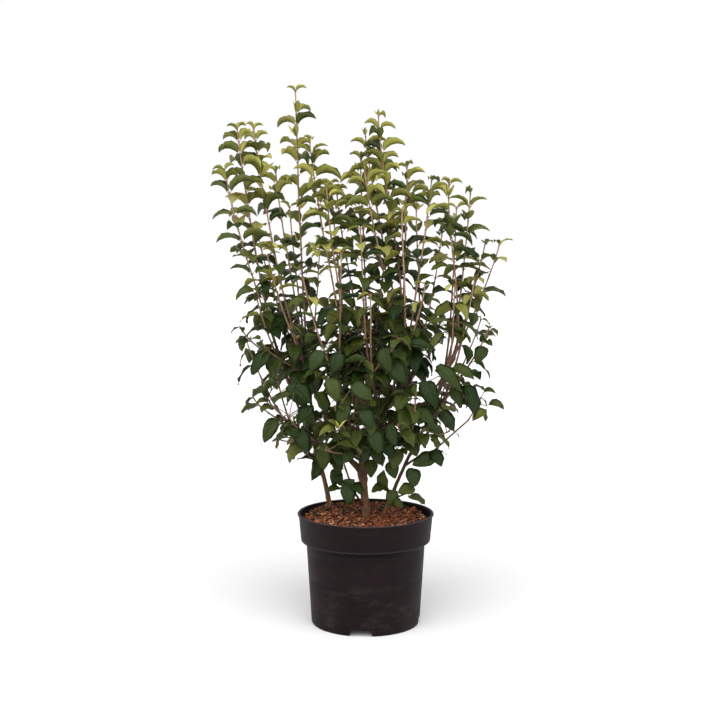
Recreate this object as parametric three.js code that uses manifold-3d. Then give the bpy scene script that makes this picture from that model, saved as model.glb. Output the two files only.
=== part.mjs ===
// A potted dwarf lilac, about 1.1 m tall with its pot: a round nursery pot filled with potting mix, three
// stems that rise from it, the boughs that they carry, and masses of upright leafy wands on the boughs.
// Millimetres, +Z up, +X to the right and +Y away from the viewer. The origin is the middle of the pot's
// underside, where its centre foot stands on the ground.

import * as THREE from "three";
import { mergeVertices } from "three/addons/utils/BufferGeometryUtils.js";
import Module from "manifold-3d";

const wasm = await Module();
wasm.setup();

// Driving dimensions of the pot, which is a 10 litre nursery pot
const pot = {
  height: 228,
  lipRadius: 140,
  lipHeight: 4,
  collarTopRadius: 137.5,
  collarFootRadius: 133,
  collarHeight: 55,
  shoulderDrop: 13,
  bodyTopRadius: 121.5,
  bodyFootRadius: 112,
  footRounding: 5,
  wall: 2.4,
  floorUnderside: 12,
  floorThickness: 3,
  centreFootRadius: 32,
  sides: 32,
};
const notches = { count: 4, wideWidth: 49, narrowWidth: 37, height: 12, turn: -5 };
const drainHoles = { count: 8, radius: 6, ring: 72, sides: 6 };
const cutDepth = 20;

// The potting mix is level in the middle and falls away to the wall
const mix = { level: 216, edgeLevel: 209, levelRadius: 118 };

// Clearances: between neighbouring pieces, and around a twig or leaf that has to stay in its own space
const gap = 0.3;
const growingRoom = 0.5;

// Detail finer than this goes when a mass is joined
const finest = 0.01;

// The seed of the first mass's dice, which the next masses count on from
const firstSeed = 17;

// Limbs are round, faceted bars, wider where they leave the ground or their parent: `flare` is how much
// wider, as a share, and it fades along the limb at the rate `flareFade`
const limb = { stemSides: 8, boughSides: 5, stepLength: 44, boughFlare: 0.12, flareFade: 9 };

// Stems that stand in the mix: points that they pass through, and radii at the ground and at the tip
const stems = {
  trunk: { path: [[1, 10, 190], [1, 10, 216], [-3, 10, 268], [-8, 8, 322]], radii: [9.0, 7.8], flare: 0.6 },
  left_stem: {
    path: [[-68, 72, 190], [-73, 70, 216], [-90, 62, 298], [-114, 54, 378], [-136, 50, 428]],
    radii: [5.4, 3.4],
    flare: 0.3,
  },
  right_stem: {
    path: [[30, 22, 190], [36, 20, 216], [87, 2, 340], [121, -10, 408], [148, -18, 448]],
    radii: [4.2, 2.7],
    flare: 0.25,
  },
};

// Boughs: the limb that each leaves, how far along it, a point on the way and the end, where a mass begins
const boughs = {
  bough_left: { of: "trunk", at: 0.9, via: [-44, 2, 354], end: [-86, -4, 440], radii: [6.2, 3.2] },
  bough_centre_left: {
    of: "trunk",
    at: 0.99,
    via: [-12, -12, 374],
    end: [-19, -26, 430],
    radii: [5.4, 3.2],
  },
  bough_centre: { of: "trunk", at: 0.96, via: [31, -10, 410], end: [57, -12, 488], radii: [6.2, 3.4] },
  bough_front: {
    of: "bough_centre",
    at: 0.58,
    via: [27, -34, 450],
    end: [19, -50, 478],
    radii: [3.2, 2.6],
  },
  bough_front_left: {
    of: "bough_centre_left",
    at: 0.35,
    via: [-25, -50, 400],
    end: [-36, -66, 436],
    radii: [3.2, 2.5],
  },
  bough_right: {
    of: "bough_centre",
    at: 0.5,
    via: [84, -34, 440],
    end: [122, -38, 462],
    radii: [3.8, 2.8],
  },
  bough_centre_right: {
    of: "bough_centre",
    at: 0.8,
    via: [68, -36, 474],
    end: [72, -52, 500],
    radii: [2.9, 2.5],
  },
  bough_far_right: {
    of: "right_stem",
    at: 0.72,
    via: [130, 10, 418],
    end: [146, 22, 458],
    radii: [2.9, 2.4],
  },
  bough_tall_left: {
    of: "left_stem",
    at: 0.62,
    via: [-110, 66, 392],
    end: [-114, 72, 432],
    radii: [3.1, 2.7],
  },
  bough_back: { of: "trunk", at: 0.93, via: [2, 44, 366], end: [4, 70, 420], radii: [5.0, 3.2] },
  bough_back_right: {
    of: "bough_back",
    at: 0.4,
    via: [44, 76, 386],
    end: [70, 96, 420],
    radii: [2.9, 2.4],
  },
  bough_back_left: {
    of: "left_stem",
    at: 0.5,
    via: [-108, 92, 362],
    end: [-112, 116, 400],
    radii: [2.8, 2.3],
  },
  bough_low_left: {
    of: "bough_left",
    at: 0.36,
    via: [-70, -38, 366],
    end: [-92, -64, 382],
    radii: [2.8, 2.2],
  },
  bough_low_front: { of: "trunk", at: 0.8, via: [-8, -36, 322], end: [-6, -70, 344], radii: [2.6, 2.1] },
  bough_low_front_right: {
    of: "bough_centre",
    at: 0.28,
    via: [46, -42, 376],
    end: [70, -72, 386],
    radii: [2.8, 2.2],
  },
  bough_low_right: {
    of: "right_stem",
    at: 0.5,
    via: [112, -24, 350],
    end: [138, -34, 362],
    radii: [2.5, 2.0],
  },
  bough_low_back: {
    of: "bough_back",
    at: 0.25,
    via: [12, 84, 350],
    end: [10, 114, 368],
    radii: [2.7, 2.2],
  },
  bough_low_back_left: {
    of: "left_stem",
    at: 0.38,
    via: [-120, 96, 336],
    end: [-142, 110, 360],
    radii: [2.5, 2.1],
  },
  bough_low_back_right: {
    of: "right_stem",
    at: 0.58,
    via: [122, 30, 376],
    end: [136, 56, 396],
    radii: [2.6, 2.2],
  },
};

// Masses: the limb whose tip carries each, or how far along it the mass sits, and the tips of its wands.
// The first wand is the leader, which starts as the mass's one stem, and the others branch from it.
const masses = {
  far_left_wands: {
    on: "left_stem",
    tips: [[-260, 20, 1010], [-280, -40, 925], [-217, -45, 672], [-254, -10, 610]],
  },
  left_wands: { on: "bough_left", tips: [[-230, 60, 1033], [-192, -90, 756], [-205, -105, 590]] },
  tall_left_wands: { on: "bough_tall_left", tips: [[-144, 66, 1092], [-190, 140, 930]] },
  centre_left_wands: { on: "bough_centre_left", tips: [[-113, 0, 986], [-79, -40, 893], [-71, 50, 900]] },
  front_left_wands: {
    on: "bough_front_left",
    tips: [[-121, -120, 712], [-97, -160, 628], [-47, -140, 762]],
  },
  front_wands: { on: "bough_front", tips: [[-11, -110, 808], [8, -160, 684], [60, -185, 600]] },
  centre_spire_wands: {
    on: "bough_centre",
    tips: [[25, 0, 1034], [-3, -50, 924], [-1, 60, 1001], [68, 36, 912]],
  },
  centre_right_wands: {
    on: "bough_centre_right",
    tips: [[71, -80, 843], [133, 20, 907], [112, -150, 700]],
  },
  right_wands: { on: "bough_right", tips: [[165, -30, 898], [210, -10, 880], [172, -120, 700]] },
  far_right_wands: { on: "bough_far_right", tips: [[238, -30, 780], [273, 30, 780], [188, 70, 854]] },
  right_stem_wands: { on: "right_stem", tips: [[243, -60, 611], [212, -90, 712], [262, 0, 540]] },
  low_right_wands: {
    on: "bough_low_right",
    tips: [[277, -70, 455], [205, -120, 420], [220, 0, 400], [175, -90, 350]],
  },
  low_left_wands: {
    on: "bough_low_left",
    tips: [[-208, -60, 470], [-150, -140, 450], [-170, -75, 375], [-120, -150, 385], [-150, -20, 345]],
  },
  low_front_wands: {
    on: "bough_low_front",
    tips: [[-60, -170, 470], [10, -190, 455], [-90, -140, 390], [45, -155, 370], [-50, -165, 340]],
  },
  low_front_right_wands: {
    on: "bough_low_front_right",
    tips: [[96, -180, 510], [150, -150, 450], [60, -175, 435], [120, -150, 375], [165, -90, 410]],
  },
  back_centre_wands: { on: "bough_back", tips: [[-10, 150, 960], [51, 90, 850], [-60, 130, 880]] },
  back_right_wands: { on: "bough_back_right", tips: [[112, 200, 880], [165, 160, 800], [70, 260, 770]] },
  back_left_wands: { on: "bough_back_left", tips: [[-165, 210, 860], [-230, 150, 800], [-100, 240, 790]] },
  low_back_wands: {
    on: "bough_low_back",
    tips: [[-20, 265, 620], [60, 240, 540], [-80, 225, 500], [0, 230, 430]],
  },
  low_back_left_wands: {
    on: "bough_low_back_left",
    tips: [[-255, 120, 580], [-200, 205, 520], [-235, 60, 460]],
  },
  low_back_right_wands: {
    on: "bough_low_back_right",
    tips: [[245, 110, 620], [190, 190, 550], [225, 70, 480]],
  },
  low_twig: { on: "trunk", at: 0.3, tips: [[-64, -56, 424], [-98, -66, 318], [-52, -66, 272]] },
  low_sprig: { on: "right_stem", at: 0.2, tips: [[118, -40, 300], [66, -58, 262], [112, 0, 262]] },
};

// Wands, which are upright shoots. The branches leave the leader low down, one after the other, as shares
// of its length. `heel` is how far a wand keeps its first and last direction, `rise` how much it stands up.
const wand = {
  footRadius: 2.5,
  branchRadius: 2.1,
  tipRadius: 1.0,
  stepLength: 120,
  sides: 3,
  heel: 0.3,
  rise: 0.7,
  firstBranch: 0.06,
  nextBranch: 0.05,
  branchPull: 0.6,
};

// Sprigs are short twigs on the lower part of a wand, each a golden angle round it from the last
const sprig = {
  every: 300,
  lowest: 0.1,
  highest: 0.62,
  shortest: 60,
  longest: 100,
  radius: 1.2,
  outShare: 0.72,
  upShare: 0.5,
  turn: 2.4,
};

// Leaves stand in opposite pairs: low down they hang and lie flat, higher up they are smaller, level and
// folded along the midrib. `tries` are the size and bend that a leaf takes in turn until it has room.
const leaf = {
  lowLength: 76,
  highLength: 68,
  tipShare: 0.62,
  lowWidth: 0.72,
  highWidth: 0.62,
  thickness: 1.1,
  lowSpacing: 63,
  highSpacing: 90,
  firstAt: 30,
  lastShare: 0.985,
  lowLift: 0.1,
  highLift: 0.18,
  lowFold: 0.05,
  highFold: 0.22,
  widestAt: 0.45,
  sunk: 0.28,
  tries: [[1, 0], [1, -0.4], [1, 0.4], [0.75, 0], [0.75, -0.5], [0.75, 0.5]],
};

// What counts as low and high on the plant, the tilt of leaves there in degrees, and how much they vary
const habit = {
  lowHeight: 400,
  highHeight: 780,
  lowTilt: -58,
  highTilt: 12,
  tiltSpread: 30,
  turnSpread: 0.5,
  sizeSpread: 0.2,
};

const colours = { pot: 0x2b2729, mix: 0x7a4128, bark: 0x7b6150, foliage: 0x4c6136 };

const up = new THREE.Vector3(0, 0, 1);
const vector = ([x, y, z]) => new THREE.Vector3(x, y, z);
const between = (low, high, share) => low + (high - low) * THREE.MathUtils.clamp(share, 0, 1);

// Dice that give the same rolls, from 0 to 1, on every run: a linear congruential generator whose seed is
// first spread out by a large odd number
function seededDice(seed) {
  let state = Math.imul(seed, 2654435761);
  return () => {
    state = (Math.imul(state, 1664525) + 1013904223) >>> 0;
    return state / 2 ** 32;
  };
}

// A roll to either side of nothing, `spread` wide in all
const sway = (dice, spread) => (dice() - 0.5) * spread;

// Geometry to a closed solid, with the faces that collapse on an axis left out
function solidOf(geometry) {
  const bare = geometry.index ? geometry.toNonIndexed() : geometry.clone();
  bare.deleteAttribute("normal");
  bare.deleteAttribute("uv");
  const merged = mergeVertices(bare, 1e-3);
  const corners = merged.index.array;
  const kept = [];
  for (let i = 0; i < corners.length; i += 3) {
    const [a, b, c] = corners.subarray(i, i + 3);
    if (a !== b && b !== c && c !== a) kept.push(a, b, c);
  }
  return new wasm.Manifold(
    new wasm.Mesh({
      numProp: 3,
      vertProperties: merged.attributes.position.array,
      triVerts: new Uint32Array(kept),
    }),
  );
}

// A solid back to geometry
function geometryOf(solid) {
  const { numProp, vertProperties, triVerts } = solid.getMesh();
  const geometry = new THREE.BufferGeometry();
  geometry.setAttribute("position", new THREE.BufferAttribute(vertProperties, numProp));
  geometry.setIndex(new THREE.BufferAttribute(triVerts, 1));
  geometry.computeVertexNormals();
  return geometry;
}

// The largest of the pieces that a cut leaves
function largestPiece(solid) {
  return solid.decompose().reduce((best, piece) => (piece.volume() > best.volume() ? piece : best));
}

// One body whose corners are no closer than a mesh can hold
function oneBody(solid) {
  const body = largestPiece(solid).simplify(finest);
  return largestPiece(solidOf(geometryOf(body)));
}

const join = (solids) => wasm.Manifold.union(solids);

// A profile of [radius, height] pairs turned round the Z axis
function turned(profile, sides) {
  const points = profile.map(([radius, height]) => new THREE.Vector2(radius, height));
  return new THREE.LatheGeometry(points, sides).rotateX(Math.PI / 2);
}

// A round bar turned with its radius given along its length, then bent along a curve
function bentBar(curve, radiusAt, sides, steps) {
  const profile = [new THREE.Vector2(0, 0)];
  for (let i = 0; i <= steps; i++) profile.push(new THREE.Vector2(radiusAt(i / steps), i));
  profile.push(new THREE.Vector2(0, steps));
  const bar = new THREE.LatheGeometry(profile, sides);
  const { normals, binormals } = curve.computeFrenetFrames(steps);
  const { position } = bar.attributes;
  for (let v = 0; v < position.count; v++) {
    const i = Math.round(position.getY(v));
    const place = curve
      .getPointAt(i / steps)
      .addScaledVector(normals[i], position.getX(v))
      .addScaledVector(binormals[i], -position.getZ(v));
    position.setXYZ(v, place.x, place.y, place.z);
  }
  return solidOf(bar);
}

// The pot: a collared shell on a ring foot with notches, a raised floor with drain holes and a centre foot
function makePot() {
  const { wall, height, floorUnderside, floorThickness } = pot;
  const collarFoot = height - pot.collarHeight;
  const shoulderFoot = collarFoot - pot.shoulderDrop;
  const floorTop = floorUnderside + floorThickness;
  const shell = turned(
    [
      [0, 0],
      [pot.centreFootRadius, 0],
      [pot.centreFootRadius, floorUnderside],
      [pot.bodyFootRadius - 2 * wall, floorUnderside],
      [pot.bodyFootRadius - 2 * wall, 0],
      [pot.bodyFootRadius - wall, 0],
      [pot.bodyFootRadius, pot.footRounding],
      [pot.bodyTopRadius, shoulderFoot],
      [pot.collarFootRadius, collarFoot],
      [pot.collarTopRadius, height - pot.lipHeight],
      [pot.lipRadius, height - pot.lipHeight],
      [pot.lipRadius, height - 1],
      [pot.lipRadius - 1, height],
      [pot.collarTopRadius - wall, height],
      [pot.collarFootRadius - wall, collarFoot + wall / 2],
      [pot.bodyTopRadius - wall, shoulderFoot],
      [pot.bodyFootRadius - wall, floorTop],
      [0, floorTop],
    ],
    pot.sides,
  );
  let solid = solidOf(shell);
  const notch = new THREE.Shape()
    .moveTo(-notches.wideWidth / 2, -gap)
    .lineTo(notches.wideWidth / 2, -gap)
    .lineTo(notches.narrowWidth / 2, notches.height)
    .lineTo(-notches.narrowWidth / 2, notches.height);
  for (let i = 0; i < notches.count; i++) {
    const cutter = new THREE.ExtrudeGeometry(notch, { depth: cutDepth, bevelEnabled: false })
      .rotateX(Math.PI / 2)
      .translate(0, cutDepth / 2 - pot.bodyFootRadius, 0)
      .rotateZ(THREE.MathUtils.degToRad(notches.turn + (i * 360) / notches.count));
    solid = solid.subtract(solidOf(cutter));
  }
  for (let i = 0; i < drainHoles.count; i++) {
    const angle = ((i + 0.5) * 2 * Math.PI) / drainHoles.count;
    const { radius, ring, sides } = drainHoles;
    const cutter = new THREE.CylinderGeometry(radius, radius, cutDepth, sides)
      .rotateX(Math.PI / 2)
      .translate(ring * Math.cos(angle), ring * Math.sin(angle), floorUnderside);
    solid = solid.subtract(solidOf(cutter));
  }
  return solid;
}

// The potting mix: fills the pot with a small gap to its floor and wall
function makeMix() {
  const { wall, height } = pot;
  const collarFoot = height - pot.collarHeight;
  const shoulderFoot = collarFoot - pot.shoulderDrop;
  const floor = pot.floorUnderside + pot.floorThickness + gap;
  const collarShare = (mix.edgeLevel - collarFoot) / (height - collarFoot);
  const edgeRadius = between(pot.collarFootRadius, pot.collarTopRadius, collarShare) - wall - 2 * gap;
  return solidOf(
    turned(
      [
        [0, floor],
        [pot.bodyFootRadius - wall - 2 * gap, floor],
        [pot.bodyTopRadius - wall - 2 * gap, shoulderFoot],
        [pot.collarFootRadius - wall - 2 * gap, collarFoot + wall / 2 + gap],
        [edgeRadius, mix.edgeLevel],
        [mix.levelRadius, mix.level],
        [0, mix.level],
      ],
      pot.sides,
    ),
  );
}

// Limbs: each keeps its curve, so that what it carries can meet it, and a sleeve that is a gap wider, so
// that what leaves it can be cut clear of it. The stems end in a flat cut at the level of the mix.
const limbs = {};
const groundWidth = 2 * pot.lipRadius;
const groundBlock = solidOf(
  new THREE.BoxGeometry(groundWidth, groundWidth, mix.level).translate(0, 0, mix.level / 2 + gap),
);

function addLimb(name, points, [footRadius, tipRadius], flare, sides) {
  const curve = new THREE.CatmullRomCurve3(points, false, "catmullrom");
  const steps = Math.max(3, Math.round(curve.getLength() / limb.stepLength));
  const widening = (share) => 1 + flare * Math.exp(-limb.flareFade * share);
  const radiusAt = (share) => between(footRadius, tipRadius, share) * widening(share);
  const sleeve = bentBar(curve, (share) => radiusAt(share) + gap, sides, steps);
  let solid = bentBar(curve, radiusAt, sides, steps).subtract(groundBlock);
  for (const other of Object.values(limbs)) solid = solid.subtract(other.sleeve);
  limbs[name] = { curve, sleeve, solid: largestPiece(solid) };
}

for (const [name, { path, radii, flare }] of Object.entries(stems)) {
  addLimb(name, path.map(vector), radii, flare, limb.stemSides);
}
for (const [name, { of, at, via, end, radii }] of Object.entries(boughs)) {
  const root = limbs[of].curve.getPointAt(at);
  addLimb(name, [root, vector(via), vector(end)], radii, limb.boughFlare, limb.boughSides);
}

// A wand's middle line: it sets out along `heading`, and stands up towards its tip
function wandCurve(foot, heading, tip) {
  const reach = foot.distanceTo(tip);
  const lean = tip.clone().sub(foot).normalize().addScaledVector(up, wand.rise).normalize();
  return new THREE.CubicBezierCurve3(
    foot,
    foot.clone().addScaledVector(heading, wand.heel * reach),
    tip.clone().addScaledVector(lean, -wand.heel * reach),
    tip,
  );
}

// The wands of a mass: the leader goes on from its limb's tip, a gap clear of it, or leaves its limb's side
// at a slant, and the others branch from the leader
function wandCurves({ on, at, tips }) {
  const { curve } = limbs[on];
  const foot = curve.getPointAt(at ?? 1);
  const [leaderTip, ...otherTips] = tips.map(vector);
  const heading = curve.getTangentAt(1);
  if (at === undefined) foot.addScaledVector(heading, gap);
  else heading.copy(leaderTip).sub(foot).setZ(0).normalize().add(up).normalize();
  const leader = wandCurve(foot, heading, leaderTip);
  const others = otherTips.map((tip, i) => {
    const share = wand.firstBranch + wand.nextBranch * i;
    const branching = barPoint(leader, share);
    const away = tip.clone().sub(branching).normalize();
    const start = leader.getTangentAt(share).multiplyScalar(wand.branchPull).add(away).normalize();
    return wandCurve(branching, start, tip);
  });
  return [leader, ...others];
}

// The sprigs of a wand, evenly up its lower part, longer lower down
function sprigCurves(curve, dice) {
  const count = Math.floor((curve.getLength() * (sprig.highest - sprig.lowest)) / sprig.every);
  const turn = dice() * 2 * Math.PI;
  return Array.from({ length: count }, (_, i) => {
    const share = between(sprig.lowest, sprig.highest, (i + dice()) / count);
    const foot = barPoint(curve, share);
    const tangent = curve.getTangentAt(share);
    const outward = sideOf(tangent, turn + i * sprig.turn);
    const reach = between(sprig.longest, sprig.shortest, share);
    const tip = foot.clone().addScaledVector(outward, sprig.outShare * reach);
    tip.addScaledVector(up, sprig.upShare * reach);
    return wandCurve(foot, outward.add(tangent).normalize(), tip);
  });
}

// The direction square to `tangent` that is `angle` round it from +X
function sideOf(tangent, angle) {
  return new THREE.Vector3(0, 1, 0).cross(tangent).normalize().applyAxisAngle(tangent, angle);
}

const wandSteps = (curve) => Math.max(2, Math.round(curve.getLength() / wand.stepLength));

function wandSolid(curve, footRadius, tipRadius) {
  return bentBar(curve, (share) => between(footRadius, tipRadius, share), wand.sides, wandSteps(curve));
}

// The middle of the bar itself, which is straight from step to step
function barPoint(curve, share) {
  const steps = wandSteps(curve);
  const before = Math.min(steps - 1, Math.floor(share * steps));
  const start = curve.getPointAt(before / steps);
  return start.lerp(curve.getPointAt((before + 1) / steps), share * steps - before);
}

// One leaf: an octahedron pulled out to a leaf that is folded along its midrib and arched along its length
function leafSolid({ length, height, frame }, room) {
  const halfWidth = (length * between(leaf.lowWidth, leaf.highWidth, height)) / 2 + room;
  const lift = between(leaf.lowLift, leaf.highLift, height);
  const fold = between(leaf.lowFold, leaf.highFold, height);
  const halfThickness = leaf.thickness / 2 + room;
  const blade = new THREE.OctahedronGeometry(1);
  const { position } = blade.attributes;
  for (let v = 0; v < position.count; v++) {
    const [along, across, through] = [position.getX(v), position.getY(v), position.getZ(v)];
    const middle = 1 - Math.abs(along);
    const reach = middle ? leaf.widestAt * length : ((along + 1) / 2) * (length + room);
    const arch = middle * (lift + fold * (Math.abs(across) - 0.5)) * length;
    position.setXYZ(v, reach, across * halfWidth, arch + through * halfThickness);
  }
  return solidOf(blade.applyMatrix4(frame));
}

// Where a leaf sits: its root sunk in the wand, its length outwards and tilted, its upper face to the sky
function leafFrame(point, outward, tilt, twist, wandRadius) {
  const root = point.clone().addScaledVector(outward, wandRadius * leaf.sunk);
  const level = outward.clone().setZ(0).normalize();
  const along = level.multiplyScalar(Math.cos(tilt)).addScaledVector(up, Math.sin(tilt));
  const across = up.clone().cross(along).normalize().applyAxisAngle(along, twist);
  const face = along.clone().cross(across);
  return new THREE.Matrix4().makeBasis(along, across, face).setPosition(root);
}

const heightShare = ({ z }) => (z - habit.lowHeight) / (habit.highHeight - habit.lowHeight);

// The leaves that a wand would bear, in opposite pairs, each pair a quarter turn from the last. Each leaf is
// a list of the forms that it may take, the best first.
function leavesOf({ curve, footRadius, tipRadius }, dice) {
  const length = curve.getLength();
  const spacing = between(leaf.lowSpacing, leaf.highSpacing, heightShare(curve.getPointAt(0.5)));
  const pairs = Math.max(1, Math.round((length - leaf.firstAt) / spacing));
  const turn = dice() * Math.PI;
  const found = [];
  for (let pair = 0; pair <= pairs; pair++) {
    const share = Math.min(leaf.lastShare, between(leaf.firstAt / length, 1, pair / pairs));
    const point = barPoint(curve, share);
    const height = heightShare(point);
    const growth = between(leaf.tipShare, 1, (length * (1 - share)) / (2 * spacing));
    const size = between(leaf.lowLength, leaf.highLength, height) * growth;
    const wandRadius = between(footRadius, tipRadius, share);
    for (const half of [0, 1]) {
      const angle = turn + (pair / 2 + half) * Math.PI + sway(dice, habit.turnSpread);
      const outward = sideOf(curve.getTangentAt(share), angle);
      const degrees = between(habit.lowTilt, habit.highTilt, height) + sway(dice, habit.tiltSpread);
      const tilt = THREE.MathUtils.degToRad(degrees);
      const twist = sway(dice, habit.turnSpread);
      const ownSize = size * (1 + sway(dice, habit.sizeSpread));
      found.push(
        leaf.tries.map(([scale, bend]) => ({
          length: ownSize * scale,
          height,
          frame: leafFrame(point, outward, tilt + bend, twist, wandRadius),
        })),
      );
    }
  }
  return found;
}

// Every solid so far with its box, so that a twig or leaf can be tested against what is near it
const placed = [];

function place(solid, own) {
  const { min, max } = solid.boundingBox();
  placed.push({ solid, own, min, max });
}

function isClear(solid, own) {
  const { min, max } = solid.boundingBox();
  return placed.every(
    (other) =>
      other.own === own ||
      [0, 1, 2].some((axis) => max[axis] < other.min[axis] || min[axis] > other.max[axis]) ||
      solid.intersect(other.solid).isEmpty(),
  );
}

const potSolid = makePot();
const mixSolid = makeMix();
place(potSolid, "pot");
place(mixSolid, "potting_mix");
for (const [name, { solid }] of Object.entries(limbs)) place(solid, name);

// Adds a shoot to its crown
function grow(crown, curve, footRadius, solid) {
  const own = `${crown.name} ${crown.shoots.length}`;
  place(solid, own);
  crown.parts.push(solid);
  crown.shoots.push({ curve, own, footRadius, tipRadius: wand.tipRadius });
}

// Wands first, so that nothing smaller is in the way of one
const crowns = Object.entries(masses).map(([name, mass], index) => {
  const crown = { name, dice: seededDice(firstSeed + index), parts: [], shoots: [] };
  wandCurves(mass).forEach((curve, order) => {
    const footRadius = order ? wand.branchRadius : wand.footRadius;
    const bar = wandSolid(curve, footRadius, wand.tipRadius);
    grow(crown, curve, footRadius, largestPiece(bar.subtract(limbs[mass.on].sleeve)));
  });
  return crown;
});

// Then the sprigs, each where it has room
for (const crown of crowns) {
  for (const { curve, own } of [...crown.shoots]) {
    for (const twig of sprigCurves(curve, crown.dice)) {
      const space = wandSolid(twig, sprig.radius + growingRoom, wand.tipRadius + growingRoom);
      if (isClear(space, own)) grow(crown, twig, sprig.radius, wandSolid(twig, sprig.radius, wand.tipRadius));
    }
  }
  for (const shoot of crown.shoots) shoot.leaves = leavesOf(shoot, crown.dice);
}

// Then the leaves, from the tips down over the whole plant, each in the first of its forms that has room
const mostLeaves = Math.max(...crowns.flatMap(({ shoots }) => shoots.map(({ leaves }) => leaves.length)));
for (let turn = 1; turn <= mostLeaves; turn++) {
  for (const crown of crowns) {
    for (const { leaves, own } of crown.shoots) {
      const fit = leaves.at(-turn)?.find((form) => isClear(leafSolid(form, growingRoom), own));
      if (!fit) continue;
      const solid = leafSolid(fit, 0);
      place(solid, `${own} leaf`);
      crown.parts.push(solid);
    }
  }
}

// The plant and its pot as named meshes
const lilac = new THREE.Group();

function addMesh(name, solid, colour, roughness) {
  const material = new THREE.MeshStandardMaterial({ color: colour, roughness, metalness: 0 });
  const mesh = new THREE.Mesh(geometryOf(solid), material);
  mesh.name = name;
  lilac.add(mesh);
}

addMesh("pot", potSolid, colours.pot, 0.5);
addMesh("potting_mix", mixSolid, colours.mix, 0.95);
for (const [name, { solid }] of Object.entries(limbs)) addMesh(name, solid, colours.bark, 0.85);
for (const { name, parts } of crowns) addMesh(name, oneBody(join(parts)), colours.foliage, 0.6);

export default lilac;
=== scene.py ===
from bisect import bisect
from math import cos, exp, pi, radians, sin, sqrt

import bmesh
import bpy
from mathutils import Matrix, Vector, noise


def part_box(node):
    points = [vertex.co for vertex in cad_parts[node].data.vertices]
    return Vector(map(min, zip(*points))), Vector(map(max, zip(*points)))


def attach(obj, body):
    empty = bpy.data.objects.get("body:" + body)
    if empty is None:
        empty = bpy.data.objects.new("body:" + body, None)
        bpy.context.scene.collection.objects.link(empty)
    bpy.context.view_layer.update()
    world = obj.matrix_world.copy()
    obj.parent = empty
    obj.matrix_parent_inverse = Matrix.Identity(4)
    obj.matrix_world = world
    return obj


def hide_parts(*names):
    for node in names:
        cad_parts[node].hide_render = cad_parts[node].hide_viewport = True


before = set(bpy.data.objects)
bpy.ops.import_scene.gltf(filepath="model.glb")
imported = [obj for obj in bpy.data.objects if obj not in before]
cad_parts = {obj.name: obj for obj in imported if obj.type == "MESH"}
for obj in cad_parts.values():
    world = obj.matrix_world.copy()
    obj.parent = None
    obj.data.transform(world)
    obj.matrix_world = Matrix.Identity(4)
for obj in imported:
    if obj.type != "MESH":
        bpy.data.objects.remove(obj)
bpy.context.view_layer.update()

# A potted dwarf lilac. Sizes are in millimetres and turn to metres where a mesh is made.
mm = 0.001
up = Vector((0, 0, 1))
noise.seed_set(7)  # one fixed pattern of noise, so that every run grows the same plant
print("frame loaded,", len(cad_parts), "nodes")


def between(low, high, share):
    return low + (high - low) * min(max(share, 0), 1)


def seededDice(seed):  # rolls from 0 to 1, the same on every run
    state = (seed * 2654435761) & 0xffffffff

    def roll():
        nonlocal state
        state = (state * 1664525 + 1013904223) & 0xffffffff
        return state / 2 ** 32

    return roll


def sway(dice, spread):
    return (dice() - 0.5) * spread


def putInScene(name, data):
    made = bpy.data.objects.new(name, data)
    bpy.context.scene.collection.objects.link(made)
    return made


def toMesh(bm, name):
    mesh = bpy.data.meshes.new(name)
    bm.to_mesh(mesh)
    bm.free()
    return mesh


# Camera: the photograph's viewpoint, a step back from the plant and a little above its middle
cameraSet = {"lens": 62.1, "sensor": 36, "distance": 2517, "height": 776, "side": -11.6, "lookDown": 5.3}

cameraData = bpy.data.cameras.new("camera")
cameraData.lens = cameraSet["lens"]
cameraData.sensor_width = cameraSet["sensor"]
camera = putInScene("camera", cameraData)
camera.location = (cameraSet["side"] * mm, -cameraSet["distance"] * mm, cameraSet["height"] * mm)
camera.rotation_euler = (radians(90 - cameraSet["lookDown"]), 0, 0)
bpy.context.scene.camera = camera


# Materials. A pattern's scale is the number of its bits in a metre, so 1000 is a bit of 1 mm.
def linear(hexColour):  # an sRGB hex value as a linear colour
    parts = [int(hexColour[i:i + 2], 16) / 255 for i in (1, 3, 5)]
    return [c / 12.92 if c <= 0.04045 else ((c + 0.055) / 1.055) ** 2.4 for c in parts] + [1]


def newMaterial(name, **sockets):
    material = bpy.data.materials.new(name)
    material.use_nodes = True
    shader = material.node_tree.nodes["Principled BSDF"]
    for socket, value in sockets.items():
        shader.inputs[socket.replace("_", " ")].default_value = value
    return material, shader


def connect(material, node, links):  # each input's source is a socket, or a node for its first output
    for name, source in links.items():
        socket = source.outputs[0] if isinstance(source, bpy.types.Node) else source
        material.node_tree.links.new(socket, node.inputs[name])


def addNode(material, kind, settings={}, links={}):  # a node, its settings, and what feeds it
    node = material.node_tree.nodes.new("ShaderNode" + kind)
    for name, value in settings.items():
        if hasattr(node, str(name)):
            setattr(node, name, value)
        else:
            node.inputs[name].default_value = value
    connect(material, node, links)
    return node


def setRamp(ramp, *stops):  # stops are pairs of place and sRGB hex colour
    elements = ramp.color_ramp.elements
    while len(elements) < len(stops):
        elements.new(1)
    for element, (place, colour) in zip(elements, stops):
        element.position = place
        element.color = linear(colour)
    return ramp


def layOver(material, base, colour, source, reach=(0, 1), most=1):  # a colour over the base, where a source shows it
    mask = addNode(material, "MapRange", {"From Min": reach[0], "From Max": reach[1], "To Max": most},
                   {"Value": source})
    return addNode(material, "MixRGB", {"Color2": linear(colour)}, {"Fac": mask, "Color1": base})


def shadeBy(material, base, source, reach, tones):  # the base made darker or lighter by a source
    tone = addNode(material, "MapRange", {"From Min": reach[0], "From Max": reach[1], "To Min": tones[0],
                                          "To Max": tones[1]}, {"Value": source})
    return addNode(material, "MixRGB", {"blend_type": "MULTIPLY", "Fac": 1.0}, {"Color1": base, "Color2": tone})


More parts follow.
